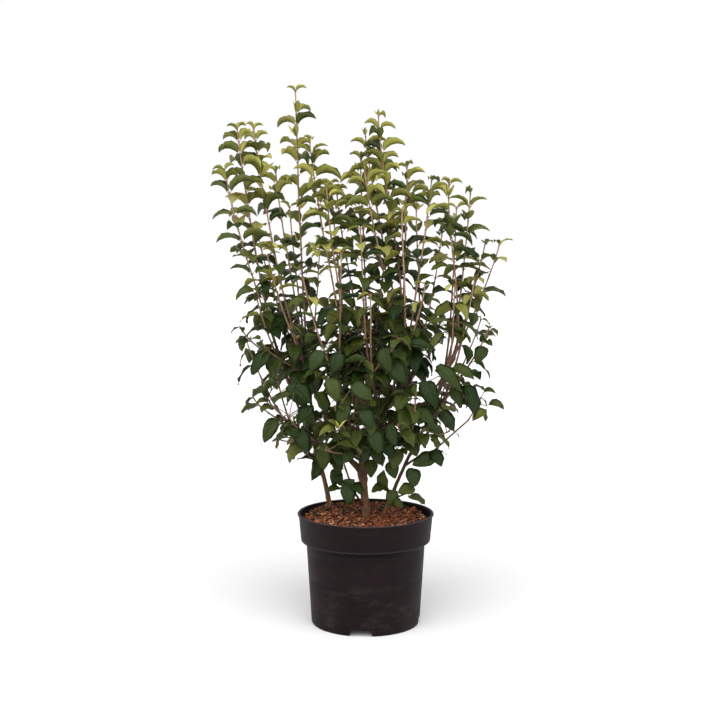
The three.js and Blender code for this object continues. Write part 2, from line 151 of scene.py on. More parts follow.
# Leaf colours by age, from the newest leaf at 0 to the oldest at 1, and what lies over them. The oldest upper
# colour is also dark enough to stand as painted shade on the front leaves that hang under the crown
leafColours = {
    "upper": [(0.0, "#b5b05e"), (0.2, "#5e6028"), (0.5, "#394419"), (1.0, "#1a2a0d")],
    "under": [(0.0, "#a4a14f"), (0.3, "#87863c"), (0.6, "#606936"), (1.0, "#405436")],
    "veins": "#465628",
    "bluish": "#162c15",
    "warm": "#3f471a",
    "spot": "#4a3420",
}
# Veins: "rib" is where the midrib fades out and is full, as shares of the blade's width from its middle, "slant"
# how far the side veins rake forward, and "side" the part of the wave across the blade that shows as a vein
veinSet = {"rib": (0.07, 0.02), "pairs": 6, "slant": 0.55, "side": (0.3, 1.0), "sideStrength": 0.55}


# Lilac leaf: a living, slightly waxy blade. The wax gives a soft sheen on the upper side, the paler
# underside is matt, and the sunken midrib and side veins are lighter than the blade.
def leafMaterial(name, stops, roughness, veinStrength):
    material, shader = newMaterial(name, Roughness=roughness, IOR=1.45, Specular_IOR_Level=0.17)
    age = addNode(material, "Attribute", {"attribute_name": "age"}).outputs["Fac"]
    tint = addNode(material, "Attribute", {"attribute_name": "tint"}).outputs["Fac"]
    blade = setRamp(addNode(material, "ValToRGB", links={"Fac": age}), *stops)
    cooled = layOver(material, blade, leafColours["bluish"], tint, reach=(0.55, 1.0), most=0.5)
    warmed = layOver(material, cooled, leafColours["warm"], tint, reach=(0.4, 0.0), most=0.38)
    place = addNode(material, "UVMap", {"uv_map": "UVMap"})
    axes = addNode(material, "SeparateXYZ", links={"Vector": place})
    across = addNode(material, "Math", {"operation": "SUBTRACT", 1: 0.5}, {0: axes.outputs["Y"]})
    fromRib = addNode(material, "Math", {"operation": "ABSOLUTE"}, {0: across})
    rib = addNode(material, "MapRange", {"From Min": veinSet["rib"][0], "From Max": veinSet["rib"][1]},
                  {"Value": fromRib})
    slant = addNode(material, "Math", {"operation": "MULTIPLY_ADD", 1: -veinSet["slant"]},
                    {0: fromRib, 2: axes.outputs["X"]})
    rows = addNode(material, "Math", {"operation": "MULTIPLY", 1: 2 * pi * veinSet["pairs"]}, {0: slant})
    wave = addNode(material, "Math", {"operation": "COSINE"}, {0: rows})
    side = addNode(material, "MapRange", {"From Min": veinSet["side"][0], "From Max": veinSet["side"][1],
                                          "To Max": veinSet["sideStrength"]}, {"Value": wave})
    veins = addNode(material, "Math", {"operation": "MAXIMUM"}, {0: rib, 1: side})
    veined = layOver(material, warmed, leafColours["veins"], veins, most=veinStrength)
    solid = addNode(material, "TexCoord").outputs["Object"]
    patches = addNode(material, "TexNoise", {"Scale": 90.0, "Detail": 3.0}, {"Vector": solid})  # blotches of 11 mm
    spotted = layOver(material, veined, leafColours["spot"], patches, reach=(0.7, 0.78), most=0.7)
    bump = addNode(material, "Bump", {"Strength": 0.6, "Distance": 0.0012, "invert": True}, {"Height": veins})
    connect(material, shader, {"Base Color": spotted, "Normal": bump})
    return material


# Bark of the year's shoots: smooth, pinkish tan, greener at the tip, with a darker red ring at each pair of leaves
def shootMaterial():
    material, shader = newMaterial("lilacShootBark", Roughness=0.55, IOR=1.45)
    age = addNode(material, "Attribute", {"attribute_name": "age"}).outputs["Fac"]
    ring = addNode(material, "Attribute", {"attribute_name": "ring"}).outputs["Fac"]
    bark = setRamp(addNode(material, "ValToRGB", links={"Fac": age}),
                   (0.0, "#968252"), (0.15, "#b39277"), (0.6, "#8b6b55"), (1.0, "#533a2a"))
    ringed = layOver(material, bark, "#5f2c22", ring)
    solid = addNode(material, "TexCoord").outputs["Object"]
    grain = addNode(material, "Mapping", {"Scale": (500, 500, 60)}, {"Vector": solid})  # 2 mm wide, 17 mm long
    fibres = addNode(material, "TexNoise", {"Scale": 1.0, "Detail": 3.0}, {"Vector": grain})
    toned = shadeBy(material, ringed, fibres, reach=(0.3, 0.7), tones=(0.72, 1.15))
    bump = addNode(material, "Bump", {"Strength": 0.4, "Distance": 0.0003}, {"Height": fibres})
    connect(material, shader, {"Base Color": toned, "Normal": bump})
    return material


# Old lilac bark: dry, grey-brown, split into long shallow plates with darker cracks between. From the fork up
# it is darkened with painted shade, which stands for the crown's shade over it.
def barkMaterial():
    material, shader = newMaterial("lilacBark", Roughness=0.85, IOR=1.5)
    solid = addNode(material, "TexCoord").outputs["Object"]
    height = addNode(material, "SeparateXYZ", links={"Vector": solid}).outputs["Z"]
    long = addNode(material, "Mapping", {"Scale": (260, 260, 45)}, {"Vector": solid})  # 4 mm wide, 22 mm long
    plates = addNode(material, "TexNoise", {"Scale": 1.0, "Detail": 6.0, "Roughness": 0.62}, {"Vector": long})
    colour = setRamp(addNode(material, "ValToRGB", links={"Fac": plates}),
                     (0.3, "#2c1a10"), (0.45, "#5c3e28"), (0.58, "#7d573b"), (0.75, "#987656"))
    moss = addNode(material, "TexNoise", {"Scale": 42.0, "Detail": 2.0}, {"Vector": solid})
    mossy = layOver(material, colour, "#4c482c", moss, reach=(0.55, 0.75), most=0.35)
    # painted shade: the bark is made darker from the fork up, where the crown shades it
    paintedForkShade = shadeBy(material, mossy, height, reach=(0.272, 0.32), tones=(1.0, 0.5))
    bump = addNode(material, "Bump", {"Strength": 0.8, "Distance": 0.0012}, {"Height": plates})
    connect(material, shader, {"Base Color": paintedForkShade, "Normal": bump})
    return material


# Heights of the pot's wear and painted light, in metres: where the lip's worn edge with its painted highlight and the
# soiled foot begin and end, and the middle and reach of the painted highlight on the collar's lower edge and of the
# painted shade on the shoulder under it, which no light reaches
potWearAndPaintedLight = {"rim": (0.2262, 0.2274), "soil": (0.15, 0.05), "collarEdge": (0.1736, 0.0012),
           "shoulder": (0.1668, 0.0046)}


# Recycled polypropylene, blow moulded: charcoal, half matt, with a fine grain, pale scuffs and dried dirt. Painted
# highlights run along the lip's and the collar's edges, and painted shade lies on the shoulder under the collar
def potMaterial():
    material, shader = newMaterial("recycledPolypropylene", IOR=1.49, Specular_IOR_Level=0.1)
    solid = addNode(material, "TexCoord").outputs["Object"]
    height = addNode(material, "SeparateXYZ", links={"Vector": solid}).outputs["Z"]
    clouds = addNode(material, "TexNoise", {"Scale": 14.0, "Detail": 4.0}, {"Vector": solid})
    base = setRamp(addNode(material, "ValToRGB", links={"Fac": clouds}), (0.35, "#120a0c"), (0.65, "#190f11"))
    stretched = addNode(material, "Mapping", {"Scale": (20, 20, 44)}, {"Vector": solid})
    rubs = addNode(material, "TexNoise", {"Scale": 1.0, "Detail": 8.0, "Roughness": 0.72}, {"Vector": stretched})
    rubbed = addNode(material, "MapRange", {"From Min": 0.5, "From Max": 0.78, "To Max": 0.36}, {"Value": rubs})
    low = addNode(material, "MapRange", {"From Min": potWearAndPaintedLight["soil"][0], "From Max": potWearAndPaintedLight["soil"][1],
                                         "To Min": 0.25}, {"Value": height})
    soiled = addNode(material, "Math", {"operation": "MULTIPLY"}, {0: rubbed, 1: low})
    scuffed = layOver(material, base, "#4c443f", soiled)
    lines = addNode(material, "Mapping", {"Scale": (9, 9, 900)}, {"Vector": solid})  # level hairlines, 1 mm apart
    hairs = addNode(material, "TexNoise", {"Scale": 1.0, "Detail": 2.0}, {"Vector": lines})
    scratched = layOver(material, scuffed, "#5a5350", hairs, reach=(0.68, 0.76), most=0.3)
    specks = addNode(material, "TexVoronoi", {"Scale": 70.0}, {"Vector": solid})  # crumbs, some 14 mm apart
    specked = layOver(material, scratched, "#6b4632", specks, reach=(0.05, 0.035), most=0.7)
    # The lip's top edge is paler: it is worn, and it also carries a painted highlight where the rounded lip catches
    # the light
    colour = layOver(material, specked, "#3b3538", height, reach=potWearAndPaintedLight["rim"], most=0.75)
    # A painted highlight along the collar's lower edge, then painted shade on the shoulder under it
    for part, tone in (("collarEdge", "#2b2427"), ("shoulder", "#060304")):
        middle, reach = potWearAndPaintedLight[part]
        band = addNode(material, "Math", {"operation": "COMPARE", 1: middle, 2: reach}, {0: height})
        colour = layOver(material, colour, tone, band)
    grain = addNode(material, "TexNoise", {"Scale": 900.0, "Detail": 2.0}, {"Vector": solid})
    bump = addNode(material, "Bump", {"Strength": 0.25, "Distance": 0.0004}, {"Height": grain})
    gloss = addNode(material, "MapRange", {"To Min": 0.42, "To Max": 0.7}, {"Value": rubs})
    connect(material, shader, {"Base Color": colour, "Normal": bump, "Roughness": gloss})
    return material


# Potting mix: damp composted bark and coir, crumbly and quite matt, dark in its hollows
def mixMaterial():
    material, shader = newMaterial("compostedBark", Roughness=0.95, IOR=1.4)
    solid = addNode(material, "TexCoord").outputs["Object"]
    crumbs = addNode(material, "TexVoronoi", {"Scale": 260.0}, {"Vector": solid})  # crumbs of 4 mm
    tones = addNode(material, "SeparateColor", links={"Color": crumbs.outputs["Color"]})
    colour = setRamp(addNode(material, "ValToRGB", links={"Fac": tones}),
                     (0.0, "#140a06"), (0.45, "#341a0e"), (0.8, "#5e2f18"), (1.0, "#7e4526"))
    bump = addNode(material, "Bump", {"Strength": 1.0, "Distance": 0.002, "invert": True}, {"Height": crumbs})
    connect(material, shader, {"Base Color": colour, "Normal": bump})
    return material


# Chips on the mix: torn bark, coir pith and splinters, each of one colour given by its tint. The last three
# colours are pale wood, white grit and moss.
def chipMaterial():
    material, shader = newMaterial("barkChips", Roughness=0.85, IOR=1.45)
    tint = addNode(material, "Attribute", {"attribute_name": "tint"}).outputs["Fac"]
    colour = setRamp(addNode(material, "ValToRGB", links={"Fac": tint}),
                     (0.0, "#180c07"), (0.25, "#3a1c0e"), (0.38, "#7c3c1e"), (0.52, "#98502a"), (0.74, "#ae6c42"),
                     (0.9, "#cda078"), (0.955, "#c4c2bc"), (0.985, "#262c14"))
    colour.color_ramp.interpolation = "CONSTANT"
    solid = addNode(material, "TexCoord").outputs["Object"]
    fibres = addNode(material, "TexNoise", {"Scale": 700.0, "Detail": 3.0}, {"Vector": solid})
    toned = shadeBy(material, colour, fibres, reach=(0, 1), tones=(0.55, 1.35))
    connect(material, shader, {"Base Color": toned})
    return material


budMaterial, _ = newMaterial("budScales", Base_Color=linear("#7d3a2e"), Roughness=0.5, IOR=1.45)
materials = {
    "leafUpper": leafMaterial("lilacLeafUpper", leafColours["upper"], roughness=0.4, veinStrength=0.17),
    "leafUnder": leafMaterial("lilacLeafUnderside", leafColours["under"], roughness=0.62, veinStrength=0.25),
    "shoot": shootMaterial(),
    "bud": budMaterial,
    "bark": barkMaterial(),
    "pot": potMaterial(),
    "mix": mixMaterial(),
    "chips": chipMaterial(),
}
print("materials made")


# A bmesh to a piece that rides with the plant. The slot is not used.
def addPiece(name, bm, slot, replaced, *materialNames):
    mesh = toMesh(bm, name)
    for materialName in materialNames:
        mesh.materials.append(materials[materialName])
    piece = putInScene(name, mesh)
    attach(piece, "root")
    if replaced:
        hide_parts(*replaced)
    return piece


def smoothFaces(bm, sharpAngle=radians(180)):
    for face in bm.faces:
        face.smooth = True
    for edge in bm.edges:
        edge.smooth = not (len(edge.link_faces) == 2 and edge.calc_face_angle(0) > sharpAngle)


# Pot: the wall's outline, softened at its edges, is spun, and then the foot and floor are cut
potSet = {
    "lipHeight": 4, "lipInside": 134.5, "collarTop": 137.5, "collarFoot": 133, "collarHeight": 55,
    "shoulderDrop": 13, "bodyTop": 121.5, "bodyFoot": 112, "footRounding": 5, "wall": 2.4,
    "floorUnderside": 12, "floorThickness": 3, "centreFoot": 32, "sides": 144, "sharp": 32,
    "mouldLines": [34, 96, 146], "lineDepth": 0.35, "lineWidth": 1.2,
}
notchSet = {"count": 4, "wide": 49, "narrow": 37, "height": 14, "turn": -5, "depth": 20, "past": 1}
drainSet = {"count": 8, "radius": 6, "ring": 72, "sides": 24, "length": 20}

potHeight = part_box("pot")[1].z / mm
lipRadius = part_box("pot")[1].x / mm
collarHeight = potHeight - potSet["collarHeight"]  # of the collar's lower edge
shoulderHeight = collarHeight - potSet["shoulderDrop"]


def bodyRadius(height):  # the body's outside, a straight taper from the foot to the shoulder
    foot = potSet["footRounding"]
    return between(potSet["bodyFoot"], potSet["bodyTop"], (height - foot) / (shoulderHeight - foot))


def potProfile():  # pairs of radius and height, from the middle of the underside, up outside and down inside
    p = potSet
    lipFoot, floorTop = potHeight - p["lipHeight"], p["floorUnderside"] + p["floorThickness"]
    outline = [(0, 0), (p["centreFoot"], 0), (p["centreFoot"], p["floorUnderside"]),
               (p["bodyFoot"] - 2 * p["wall"], p["floorUnderside"]), (p["bodyFoot"] - 2 * p["wall"], 0),
               (p["bodyFoot"] - p["wall"], 0), (p["bodyFoot"] - 0.6, 2.2), (p["bodyFoot"], p["footRounding"])]
    for height in p["mouldLines"]:  # shallow grooves
        radius, half = bodyRadius(height), p["lineWidth"] / 2
        outline += [(radius, height - half), (radius - p["lineDepth"], height), (radius, height + half)]
    outline += [(p["bodyTop"], shoulderHeight), (p["bodyTop"] + 0.9, shoulderHeight + 4.5),
                (p["bodyTop"] + 3.4, shoulderHeight + 8)]
    # The collar with its rounded lower edge, then the lip, then the inside
    outline += [(p["collarFoot"] - 2.4, collarHeight - 2), (p["collarFoot"] - 0.6, collarHeight - 0.9),
                (p["collarFoot"], collarHeight + 0.6), (p["collarTop"], lipFoot - 1.5)]
    outline += [(p["collarTop"] + 0.8, lipFoot), (lipRadius - 0.6, lipFoot + 0.3), (lipRadius, lipFoot + 1),
                (lipRadius, potHeight - 1.2), (lipRadius - 0.9, potHeight), (p["lipInside"] + 0.9, potHeight),
                (p["lipInside"], potHeight - 1)]
    outline += [(p["collarFoot"] - p["wall"], collarHeight + 1.2), (p["bodyTop"] - p["wall"], shoulderHeight),
                (p["bodyFoot"] - p["wall"], floorTop), (0, floorTop)]
    return outline


def spun(bm, outline, sides):  # turns pairs of radius and height round the Z axis
    verts = [bm.verts.new((radius * mm, 0, height * mm)) for radius, height in outline]
    edges = [bm.edges.new(pair) for pair in zip(verts, verts[1:])]
    bmesh.ops.spin(bm, geom=verts + edges, cent=(0, 0, 0), axis=(0, 0, 1), angle=2 * pi, steps=sides,
                   use_merge=True, use_duplicate=False)
    bmesh.ops.remove_doubles(bm, verts=bm.verts, dist=0.01 * mm)
    bmesh.ops.recalc_face_normals(bm, faces=bm.faces)


def potCutters():  # wedges for the notches in the foot and pegs for the drain holes
    bm = bmesh.new()
    size = Vector((notchSet["wide"], notchSet["depth"], notchSet["height"])) * mm
    middle = Vector((0, -potSet["bodyFoot"], notchSet["height"] / 2)) * mm
    for i in range(notchSet["count"]):
        turn = Matrix.Rotation(radians(notchSet["turn"]) + i * 2 * pi / notchSet["count"], 4, "Z")
        cut = bmesh.ops.create_cube(bm, size=1,
                                    matrix=turn @ Matrix.Translation(middle) @ Matrix.Diagonal((*size, 1)))
        for vert in cut["verts"]:
            if vert.co.z > middle.z:  # the upper edge is the narrow one
                flat = turn.inverted() @ vert.co
                flat.x *= notchSet["narrow"] / notchSet["wide"]
                vert.co = turn @ flat
            else:  # the lower edge goes past the pot's underside
                vert.co.z -= notchSet["past"] * mm
    for i in range(drainSet["count"]):
        angle = (i + 0.5) * 2 * pi / drainSet["count"]
        place = Vector((drainSet["ring"] * cos(angle), drainSet["ring"] * sin(angle), potSet["floorUnderside"]))
        radius = drainSet["radius"] * mm
        bmesh.ops.create_cone(bm, cap_ends=True, segments=drainSet["sides"], radius1=radius, radius2=radius,
                              depth=drainSet["length"] * mm, matrix=Matrix.Translation(place * mm))
    return putInScene("potCutters", toMesh(bm, "potCutters"))


def makePot():
    bm = bmesh.new()
    spun(bm, potProfile(), potSet["sides"])
    smoothFaces(bm, radians(potSet["sharp"]))
    pot = addPiece("nurseryPot", bm, "pot_plastic", ["pot"], "pot")
    cutter = potCutters()
    boolean = pot.modifiers.new("notches", "BOOLEAN")
    boolean.object = cutter
    boolean.solver = "EXACT"
    bpy.context.view_layer.update()
    cutMesh = bpy.data.meshes.new_from_object(pot.evaluated_get(bpy.context.evaluated_depsgraph_get()))
    pot.modifiers.clear()
    pot.data = cutMesh
    bpy.data.objects.remove(cutter)


makePot()
print("pot made")


# Potting mix: a closed body inside the pot with a rough, slightly mounded top. It rises to the back and left.
mixSet = {"level": 210, "edgeLevel": 209, "floor": 15.3, "gap": 0.6, "reach": 130, "mound": 5, "edgeDrop": 2,
          "edgeStart": 0.86, "backRise": 13, "leftRise": 4, "highest": 225, "rimGap": 3.5, "rings": 34,
          "sides": 160, "sharp": 60}
mixRelief = [(3.2, 22, 0), (1.6, 7, 50)]  # height, width and layer of the lumps and of the crumbs


def mixHeight(x, y):  # the top of the mix at a place, in millimetres
    share = sqrt(x * x + y * y) / mixSet["reach"]
    mound = mixSet["mound"] * (1 - share ** 2)
    rise = (mixSet["backRise"] * max(0, y) + mixSet["leftRise"] * max(0, -x)) / mixSet["reach"]
    edge = mixSet["edgeDrop"] * max(0, share - mixSet["edgeStart"]) / (1 - mixSet["edgeStart"])
    relief = sum(height * noise.noise(Vector((x, y, layer)) / width) for height, width, layer in mixRelief)
    return min(mixSet["level"] + mound + rise - edge, mixSet["highest"]) + relief


def makeMix():
    inset = potSet["wall"] + mixSet["gap"]
    rim = potSet["collarTop"] - potSet["wall"] - mixSet["rimGap"]
    top = [(rim * i / mixSet["rings"], mixSet["edgeLevel"]) for i in range(mixSet["rings"] + 1)]
    side = [(potSet["collarFoot"] - inset, collarHeight + 1.8), (potSet["bodyTop"] - inset, shoulderHeight),
            (potSet["bodyFoot"] - inset, mixSet["floor"]), (0, mixSet["floor"])]
    bm = bmesh.new()
    spun(bm, top + side, mixSet["sides"])
    for vert in bm.verts:
        if vert.co.z > (mixSet["edgeLevel"] - 0.1) * mm:  # the top, not the side
            vert.co.z = mixHeight(vert.co.x / mm, vert.co.y / mm) * mm
    smoothFaces(bm, radians(mixSet["sharp"]))
    addPiece("pottingMix", bm, "potting_mix", ["potting_mix"], "mix")


# Loose bits on the mix: chips lie flat, splinters are long and thin, and grains are round
chipSet = {
    "chips": {"count": 2300, "length": (4, 11), "width": (1.8, 4.5), "height": (0.8, 2.8), "tint": (0, 0.95)},
    "splinters": {"count": 1700, "length": (8, 24), "width": (0.9, 2.0), "height": (0.8, 1.6), "tint": (0.1, 0.95)},
    "grains": {"count": 130, "length": (1.6, 3.4), "width": (1.6, 3.0), "height": (1.4, 2.6), "tint": (0.955, 0.98)},
}
scatterSet = {"reach": 130, "tilt": 64, "raised": 0.3, "ragged": (0.4, 0.4, 0.3), "seed": 301}
# Moss: the middle and reach of each patch, and the size and number of its tufts
mossSet = {"patches": [(-88, 62, 24), (-60, 96, 20), (-108, 20, 14), (30, 104, 18), (26, 70, 24), (-36, 50, 16),
                       (84, 78, 18)],
           "tufts": 800, "size": (1.5, 4), "tint": 0.99, "seed": 307}


def addChip(bm, tintLayer, x, y, size, turn, tint, dice):
    matrix = Matrix.Translation(Vector((x, y, mixHeight(x, y) + size[2] * scatterSet["raised"])) * mm) @ turn
    made = bmesh.ops.create_cube(bm, size=mm, matrix=matrix @ Matrix.Diagonal((*size, 1)))
    for vert in made["verts"]:
        vert.co += Vector([sway(dice, ragged) for ragged in scatterSet["ragged"]]) * min(size) * mm
        vert[tintLayer] = tint


def makeChips():
    dice = seededDice(scatterSet["seed"])
    bm = bmesh.new()
    tintLayer = bm.verts.layers.float.new("tint")
    for kit in chipSet.values():
        for _ in range(kit["count"]):
            radius, angle = scatterSet["reach"] * sqrt(dice()), 2 * pi * dice()
            size = [between(*kit[key], dice()) for key in ("length", "width", "height")]
            turn = Matrix.Rotation(2 * pi * dice(), 4, "Z")
            for axis in ("X", "Y"):
                turn = turn @ Matrix.Rotation(radians(sway(dice, scatterSet["tilt"])), 4, axis)
            radius = min(radius, scatterSet["reach"] - size[0] / 2)
            tint = between(*kit["tint"], dice())
            addChip(bm, tintLayer, radius * cos(angle), radius * sin(angle), size, turn, tint, dice)
    dice = seededDice(mossSet["seed"])
    for _ in range(mossSet["tufts"]):
        x, y, reach = mossSet["patches"][int(dice() * len(mossSet["patches"]))]
        radius, angle = reach * sqrt(dice()), 2 * pi * dice()
        size = [between(*mossSet["size"], dice()) for _ in range(3)]
        turn = Matrix.Rotation(2 * pi * dice(), 4, "Z")
        addChip(bm, tintLayer, x + radius * cos(angle), y + radius * sin(angle), size, turn, mossSet["tint"], dice)
    bmesh.ops.recalc_face_normals(bm, faces=bm.faces)
    addPiece("barkChips", bm, "potting_mix", [], "chips")


makeMix()
makeChips()
print("potting mix made")


# Lines that limbs and shoots follow, looked up by the share of their length
lineSet = {"steps": 120, "headingStep": 0.006}


class Line:
    def __init__(self, placeAt):
        self.points = [placeAt(i / lineSet["steps"]) for i in range(lineSet["steps"] + 1)]
        self.along = [0.0]
        for start, end in zip(self.points, self.points[1:]):
            self.along.append(self.along[-1] + (end - start).length)
        self.length = self.along[-1]

    def pointAt(self, share):
        wanted = between(0, self.length, share)
        i = min(max(bisect(self.along, wanted), 1), len(self.along) - 1)
        before = self.along[i - 1]
        return self.points[i - 1].lerp(self.points[i], (wanted - before) / (self.along[i] - before))

    def headingAt(self, share):
        step = lineSet["headingStep"]
        return (self.pointAt(share + step) - self.pointAt(share - step)).normalized()


def smoothLine(points):  # a smooth curve through the points
    knots = [Vector(p) for p in points]
    knots = [2 * knots[0] - knots[1]] + knots + [2 * knots[-1] - knots[-2]]
    spans = len(knots) - 3

    def placeAt(t):
        i = min(int(t * spans), spans - 1)
        w = t * spans - i
        a, b, c, d = knots[i:i + 4]
        return ((2 * w ** 3 - 3 * w ** 2 + 1) * b + (w ** 3 - 2 * w ** 2 + w) * (c - a) / 2
                + (3 * w ** 2 - 2 * w ** 3) * c + (w ** 3 - w ** 2) * (d - b) / 2)

    return Line(placeAt)


def sideOf(heading, angle):  # the direction square to a heading that is so far round it from +X
    return Matrix.Rotation(angle, 3, heading) @ Vector((0, 1, 0)).cross(heading).normalized()


# A round bar along a line, closed at both ends, with its radius and its surface's relief given at each place on it
def addBar(bm, line, radiusAt, sides, shares, reliefAt=None):
    made = bmesh.ops.create_grid(bm, x_segments=sides, y_segments=len(shares) - 1, size=0.5, calc_uvs=True)["verts"]
    made.sort(key=lambda vert: (round((vert.co.y + 0.5) * (len(shares) - 1)), vert.co.x))
    rows = [made[i:i + sides + 1] for i in range(0, len(made), sides + 1)]
    across = sideOf(line.headingAt(shares[0]), 0)
    for row, share in zip(rows, shares):
        heading = line.headingAt(share)
        across = (across - heading * across.dot(heading)).normalized()
        third = heading.cross(across)
        middle = line.pointAt(share)
        for column, vert in enumerate(row):
            angle = 2 * pi * column / sides
            radius = radiusAt(share)
            if reliefAt:
                radius += reliefAt(share, angle, radius)
            vert.co = (middle + (across * cos(angle) + third * sin(angle)) * radius) * mm
    bmesh.ops.weld_verts(bm, targetmap={row[-1]: row[0] for row in rows})
    bm.faces.new(rows[0][-2::-1])
    bm.faces.new(rows[-1][:-1])
    return [vert for vert in made if vert.is_valid]


# Limbs: the stems stand in the mix, and each bough leaves a limb and ends where a mass of leaves begins
stems = {
    "trunk": {"path": [(1, 10, 190), (1, 10, 216), (-3, 10, 268), (-8, 8, 322)], "radii": (9.0, 7.8), "flare": 0.6,
              "burl": 0.3},
    "left_stem": {"path": [(-68, 72, 190), (-73, 70, 216), (-90, 62, 298), (-114, 54, 378), (-136, 50, 428)],
                  "radii": (5.4, 3.4), "flare": 0.3, "burl": 0},
    "right_stem": {"path": [(30, 22, 190), (36, 20, 216), (87, 2, 340), (121, -10, 408), (148, -18, 448)],
                   "radii": (4.2, 2.7), "flare": 0.25, "burl": 0},
}
# Boughs: the limb that each leaves, how far along it, a place on the way, its end, and its radii at foot and end
boughs = {
    "bough_left": ("trunk", 0.9, (-44, 2, 354), (-86, -4, 440), (6.2, 3.2)),
    "bough_centre_left": ("trunk", 0.99, (-12, -12, 374), (-19, -26, 430), (5.4, 3.2)),
    "bough_centre": ("trunk", 0.96, (31, -10, 410), (57, -12, 488), (6.2, 3.4)),
    "bough_front": ("bough_centre", 0.58, (27, -34, 450), (19, -50, 478), (3.2, 2.6)),
    "bough_front_left": ("bough_centre_left", 0.35, (-25, -50, 400), (-36, -66, 436), (3.2, 2.5)),
    "bough_right": ("bough_centre", 0.5, (84, -34, 440), (122, -38, 462), (3.8, 2.8)),
    "bough_centre_right": ("bough_centre", 0.8, (68, -36, 474), (72, -52, 500), (2.9, 2.5)),
    "bough_far_right": ("right_stem", 0.72, (130, 10, 418), (146, 22, 458), (2.9, 2.4)),
    "bough_tall_left": ("left_stem", 0.62, (-110, 66, 392), (-114, 72, 432), (3.1, 2.7)),
    "bough_back": ("trunk", 0.93, (2, 44, 366), (4, 70, 420), (5.0, 3.2)),
    "bough_back_right": ("bough_back", 0.4, (44, 76, 386), (70, 96, 420), (2.9, 2.4)),
    "bough_back_left": ("left_stem", 0.5, (-108, 92, 362), (-112, 116, 400), (2.8, 2.3)),
    "bough_low_left": ("bough_left", 0.36, (-70, -38, 366), (-92, -64, 382), (2.8, 2.2)),
    "bough_low_front": ("trunk", 0.8, (-8, -36, 322), (-6, -70, 344), (2.6, 2.1)),
    "bough_low_front_right": ("bough_centre", 0.28, (46, -42, 376), (70, -72, 386), (2.8, 2.2)),
    "bough_low_right": ("right_stem", 0.5, (112, -24, 350), (138, -34, 362), (2.5, 2.0)),
    "bough_low_back": ("bough_back", 0.25, (12, 84, 350), (10, 114, 368), (2.7, 2.2)),
    "bough_low_back_left": ("left_stem", 0.38, (-120, 96, 336), (-142, 110, 360), (2.5, 2.1)),
    "bough_low_back_right": ("right_stem", 0.58, (122, 30, 376), (136, 56, 396), (2.6, 2.2)),
}
limbSet = {"stemSides": 28, "boughSides": 16, "step": 3, "boughFlare": 0.25, "flareFade": 9, "burlAt": 0.9,
           "burlReach": 0.1, "seedStep": 10, "boughSeed": 100}
# Relief of the bark: its heights are shares of the limb's radius, and its lengths run along the limb
barkRelief = {"height": 0.1, "ridges": 2.6, "ridgeLength": 22, "fineness": 2.3, "fineShare": 0.5,
              "knotLength": 16, "knotFrom": 0.15, "knotHeight": 0.5}
limbs = {}


def addLimb(bm, name, points, radii, flare, burl, sides, seed):
    line = smoothLine(points)

    def radiusAt(share):
        swelling = burl * exp(-((share - limbSet["burlAt"]) / limbSet["burlReach"]) ** 2)
        return between(*radii, share) * (1 + flare * exp(-limbSet["flareFade"] * share) + swelling)

    def reliefAt(share, angle, radius):  # long ridges that wander round the limb, and knots where it swells
        kit, along = barkRelief, share * line.length
        place = Vector((cos(angle) * kit["ridges"], sin(angle) * kit["ridges"], along / kit["ridgeLength"] + seed))
        ridges = noise.noise(place) + kit["fineShare"] * noise.noise(place * kit["fineness"])
        knots = max(0, noise.noise(Vector((seed, along / kit["knotLength"], cos(angle)))) - kit["knotFrom"])
        return radius * (kit["height"] * ridges + kit["knotHeight"] * knots)

    steps = max(4, int(line.length / limbSet["step"]))
    addBar(bm, line, radiusAt, sides, [i / steps for i in range(steps + 1)], reliefAt)
    limbs[name] = line


def makeLimbs():
    bm = bmesh.new()
    bm.loops.layers.uv.new("UVMap")
    for i, (name, kit) in enumerate(stems.items()):
        addLimb(bm, name, kit["path"], kit["radii"], kit["flare"], kit["burl"], limbSet["stemSides"],
                limbSet["seedStep"] * i)
    for i, (name, (parent, at, via, end, radii)) in enumerate(boughs.items()):
        addLimb(bm, name, [limbs[parent].pointAt(at), via, end], radii, limbSet["boughFlare"], 0,
                limbSet["boughSides"], limbSet["boughSeed"] + limbSet["seedStep"] * i)
    smoothFaces(bm)
    addPiece("trunkAndBoughs", bm, "bark", list(limbs), "bark")


makeLimbs()
print("trunk and boughs made")


